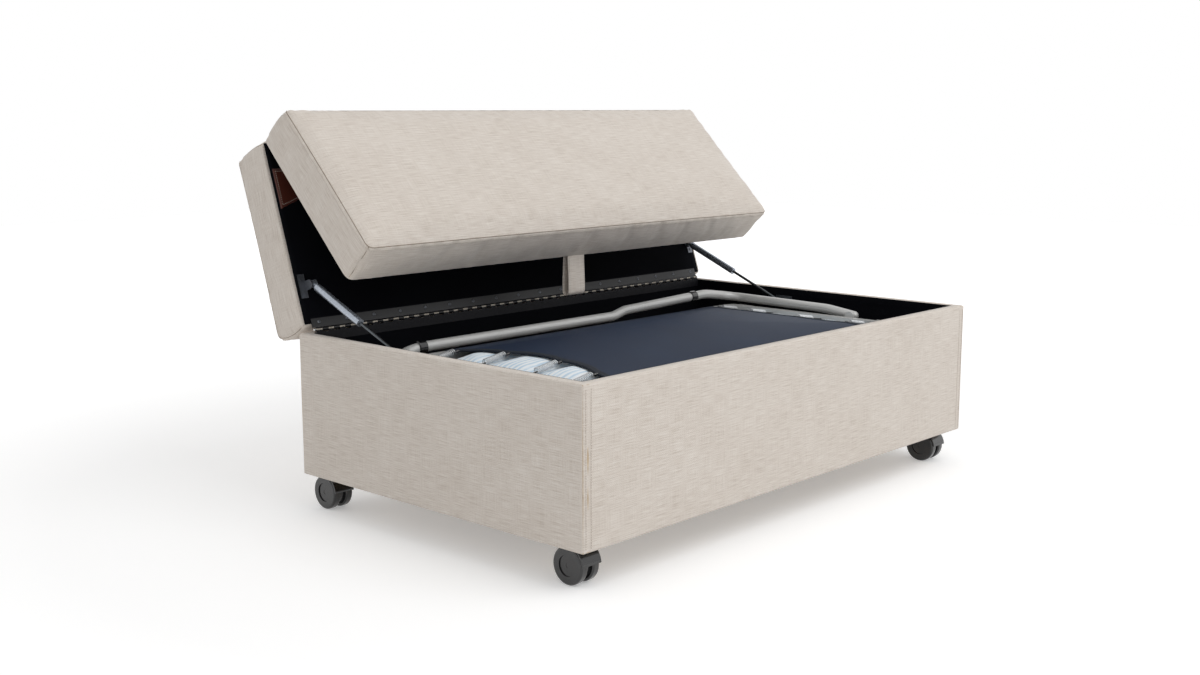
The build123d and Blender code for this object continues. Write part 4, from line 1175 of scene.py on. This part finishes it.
def makeMattress(name, node, body, seed, puff=0.0):
    s = mattressDict
    low, high = corners(node)
    xs = spread(low.x + s["shrink"], high.x - s["shrink"], s["step"], s["near"])
    ys = spread(low.y + s["shrink"], high.y - s["shrink"], s["step"], s["near"])
    seam = high.z - s["seamDrop"] - s["seamMargin"] - (s["puffRoom"] if puff else s["headRoom"])
    zs = evenly(low.z + s["footRise"], seam, s["rows"])
    piece, keys, last = softBox(name, xs, ys, zs, s["radius"], s["roll"], s["seamDrop"], "ticking")
    swell(piece, keys, last, s["cap"] if puff else s["flatCap"])
    verts = piece.data.vertices
    mid, half = (low + high) / 2, (high - low) / 2
    groove = s["channelDepth"] * (s["puffShare"] if puff else s["flatShare"])
    for (i, j, k), index in keys.items():
        point = verts[index].co
        across, over = (min(1.0, abs(point[axis] - mid[axis]) / half[axis]) for axis in (0, 1))
        if k == last[2]:
            flat = (1 - across ** 10) * (1 - over ** 10)
            channel = bell(math.sin(math.pi * point.x / s["channelPitch"]), s["channelShare"])
            lift = ripple(point, s["waveSize"], s["wave"], seed) - s["waveDrop"] - groove * channel
            point.z += (lift + (puff * betweenSprings(point) if puff else 0)) * flat
            point.z = min(point.z, deckUnder(point) if puff else high.z - s["topGap"])
        elif k > 0:
            for axis in (0, 1):
                point[axis] = max(low[axis] + s["sideGap"], min(high[axis] - s["sideGap"], point[axis]))
    for key in ringKeys(last, last[2]):
        point = verts[keys[key]].co
        for axis in (0, 1):
            point[axis] += (mid[axis] - point[axis]) / half[axis] * s["seamDepth"]
    boxUv(piece)
    smoothOnce(piece)
    settle(piece, body, node)


# Screws, set in rows by Geometry Nodes

screwDict = dict(headRadius=0.0036, headHeight=0.0012, topShare=0.62, slotLength=0.0042, slotWidth=0.0008,
                 slotProud=0.00005, sides=20)


def screwTree():
    # a cone with a crossed slot, set on each point; the slot is a near-black bar on top, painted shade standing in
    # for the recess
    s = screwDict
    tree = newTree("screwHeads", {
        "Head radius": "Float", "Head height": "Float", "Slot length": "Float", "Slot width": "Float",
        "Turn": "Vector", "Steel": "Material", "Dark": "Material"})
    add = tree.nodes.new
    start, end = add("NodeGroupInput"), add("NodeGroupOutput")
    head, steel = add("GeometryNodeMeshCone"), add("GeometryNodeSetMaterial")
    join = add("GeometryNodeJoinGeometry")
    head.inputs["Vertices"].default_value = s["sides"]
    topRadius = addMath(tree, "MULTIPLY", start.outputs["Head radius"], s["topShare"])
    tree.links.new(topRadius, head.inputs["Radius Top"])
    wire(tree, (start, "Head radius", head, "Radius Bottom"), (start, "Head height", head, "Depth"),
         (head, "Mesh", steel, "Geometry"), (start, "Steel", steel, "Material"),
         (steel, "Geometry", join, "Geometry"))
    lift = addMath(tree, "SUBTRACT", start.outputs["Head height"], s["slotWidth"] / 2 - s["slotProud"])
    for turn in (0, math.pi / 2):
        bar, size, up = add("GeometryNodeMeshCube"), add("ShaderNodeCombineXYZ"), add("ShaderNodeCombineXYZ")
        move, dark = add("GeometryNodeTransform"), add("GeometryNodeSetMaterial")
        tree.links.new(lift, up.inputs[2])
        move.inputs["Rotation"].default_value = (0, 0, turn)
        wire(tree, (start, "Slot length", size, 0), (start, "Slot width", size, 1),
             (start, "Slot width", size, 2), (size, 0, bar, "Size"), (bar, "Mesh", move, "Geometry"),
             (up, 0, move, "Translation"),
             (move, "Geometry", dark, "Geometry"), (start, "Dark", dark, "Material"),
             (dark, "Geometry", join, "Geometry"))
    points, copies = add("GeometryNodeMeshToPoints"), add("GeometryNodeInstanceOnPoints")
    real = add("GeometryNodeRealizeInstances")
    wire(tree, (start, "Geometry", points, "Mesh"), (points, "Points", copies, "Points"),
         (join, "Geometry", copies, "Instance"), (start, "Turn", copies, "Rotation"),
         (copies, "Instances", real, "Geometry"), (real, "Geometry", end, "Geometry"))
    return tree


screwGroup = screwTree()


def screwRow(name, places, facing, body, finish="dullSteel"):
    # screw heads that stand on the given places and look along facing
    s = screwDict
    mesh = bpy.data.meshes.new(name + "Places")
    mesh.from_pydata([tuple(place) for place in places], [], [])
    source = linkPiece(name + "Places", mesh)
    turn = tuple(Vector(facing).to_track_quat("Z", "Y").to_euler())
    useTree(source, screwGroup, {
        "Head radius": s["headRadius"], "Head height": s["headHeight"], "Slot length": s["slotLength"],
        "Slot width": s["slotWidth"], "Turn": turn, "Steel": materials[finish], "Dark": materials["slotShade"]})
    settle(linkPiece(name, bake(source)), body)


hingeScrewDict = dict(pitch=0.065, endMargin=0.03, leafMiddle=0.0145, leafFace=0.0028, buttInner=0.0145,
                      buttReaches=(-0.034, -0.01122, 0.01122, 0.034), buttShares=(-0.36, 0.0, 0.36),
                      bracketReach=0.016, bracketSink=0.002)


def makeScrews():
    s = hingeScrewDict
    leafLow, leafHigh = corners("base_hinge_leaf")
    count = int((leafHigh.x - leafLow.x - s["endMargin"]) / s["pitch"])
    face = lidAxis.z + s["leafFace"]
    down = Vector((0, 0, -1))
    leafXs = [(i - count / 2) * s["pitch"] for i in range(count + 1)]
    buttXs = [share * 2 * padDict["half"] + reach for share in s["buttShares"] for reach in s["buttReaches"]]
    for name, xs, y, matrix, body in (
            ("lidHingeScrews", leafXs, lidAxis.y - s["leafMiddle"], openRear, "lid_rear"),
            ("foldHingeRearScrews", buttXs, closedFold.y + s["buttInner"], openRear, "lid_rear"),
            ("foldHingeFrontScrews", buttXs, closedFold.y - s["buttInner"], openFront, "lid_front")):
        screwRow(name, [matrix @ Vector((x, y, face)) for x in xs], matrix.to_3x3() @ down, body)
    low, high = corners("strut_base_brackets")
    middle = (low + high) / 2
    for way, side in ((-1, "left"), (1, "right")):
        places = [Vector((way * (high.x - s["bracketSink"]), middle.y + reach * s["bracketReach"], middle.z))
                  for reach in (-1, 1)]
        screwRow(side + "BracketScrews", places, (-way, 0, 0), "base", "brightSteel")


# Hooks that hold the deck springs

hookDict = dict(radius=0.0028, endShare=0.62, length=0.0105, sink=0.001, springRadius=0.0054, dome=0.026,
                lift=0.0008, anchorDrop=0.008, sides=10, rings=5)


def hookRings(y, way):
    s = hookDict
    x = deckDict["side"] - arcHeight(y - deckMiddle, deckHalf, deckDict["bow"])
    rise = min(arcHeight(y - deckMiddle, deckHalf, s["dome"]), arcHeight(x, deckDict["domeHalf"], s["dome"]))
    start = Vector((way * x, y, frameHigh.z + rise + s["lift"]))
    end = Vector((way * (frameHigh.x - deckDict["frameTube"]), y, frameHigh.z - s["anchorDrop"]))
    line = (end - start).normalized()
    turned = line.to_track_quat("Z", "Y").to_matrix()
    rings = []
    for share in evenly(0, 1, s["rings"]):
        radius = s["radius"] * (s["endShare"] + (1 - s["endShare"]) * math.sin(math.pi * share))
        middle = start + line * (share * s["length"] - s["sink"])
        rings.append([middle + turned @ Vector((math.cos(angle), math.sin(angle), 0)) * radius
                      for angle in evenly(0, 2 * math.pi, s["sides"])[:-1]])
    return rings


def makeHooks():
    verts, faces = [], []
    for place in deckDict["springs"]:
        for way in (-1, 1):
            y = frameLow.y + place + way * hookDict["springRadius"]
            points, quads = joinLoops(hookRings(y, way), True)
            faces += [tuple(len(verts) + index for index in quad) for quad in quads]
            verts += points
    piece = newPiece("springHooks", verts, faces, "blackPlastic")
    recalcFaces(piece)
    settle(piece, "bed_folded")


# Clips on the leg tube

clipDict = dict(radius=0.0103, wall=0.0022, length=0.020, ends=(1.0, 0.86), gapAngle=70.0, steps=14,
                places=((-0.440, 0.312), (0.363, 0.3285)), behind=0.56, soft=0.0004)


def makeClips():
    # black plastic clips snapped round the leg tube where it rests folded
    s = clipDict
    outer, (full, short) = s["radius"] + s["wall"], s["ends"]
    profile = [(s["radius"], -full), (s["radius"], full), (outer, short), (outer, -short)]
    opening = s["gapAngle"] / 2
    for number, (x, z) in enumerate(s["places"]):
        centre = Vector((x, boxLow.y + s["behind"], z))
        loops = []
        for angle in evenly(math.radians(opening - 90), math.radians(270 - opening), s["steps"]):
            loops.append([centre + Vector((along * s["length"] / 2, radius * math.cos(angle),
                                           radius * math.sin(angle))) for radius, along in profile])
        piece = newPiece(f"legClip{number + 1}", *joinLoops(loops, True), "blackPlastic")
        recalcFaces(piece)
        soften(piece, s["soft"], 2)
        for polygon in piece.data.polygons:
            polygon.use_smooth = False
        settle(piece, "bed_leg")


# Finishes of the carried-over nodes

finishes = dict(
    board="board", linen="linen", black_cloth="blackCloth", brown_vinyl="brownVinyl",
    black_steel="blackSteel", bright_steel="brightSteel", strut_grey="strutGrey", bed_paint="bedPaint",
    navy_cloth="navyCloth", ticking="ticking", black_plastic="blackPlastic")
ownFinishes = dict(
    base_hinge_leaf="knuckleSteel", strut_lid_brackets="dullSteel", strut_base_brackets="dullSteel",
    left_strut_rod="darkRod", right_strut_rod="darkRod")


def giveFinishes():
    slots = {entry["node"]: entry["material_slot"] for entry in frame["record"]["subparts"]}
    for name, piece in nodes.items():
        piece.data.materials.clear()
        piece.data.materials.append(materials[ownFinishes.get(name, finishes[slots[name]])])


makeCamera()
makeStage()
makeCover()
makeLining()
print("box cover and lining made")
makePads()
makeDustCovers()
makePatches()
makeStrap()
print("lid made")
makeMattress("middleMattress", "mid_mattress", "bed_folded", 3, puff=0.018)
makeMattress("footMattress", "foot_mattress", "bed_folded", 6)
makeMattress("headMattress", "head_mattress", "bed_head", 9)
makeMiddleDeck()
makeHiddenDecks()
makeClips()
makeHooks()
print("bed made")
makeScrews()
giveFinishes()
print("screws and finishes made")
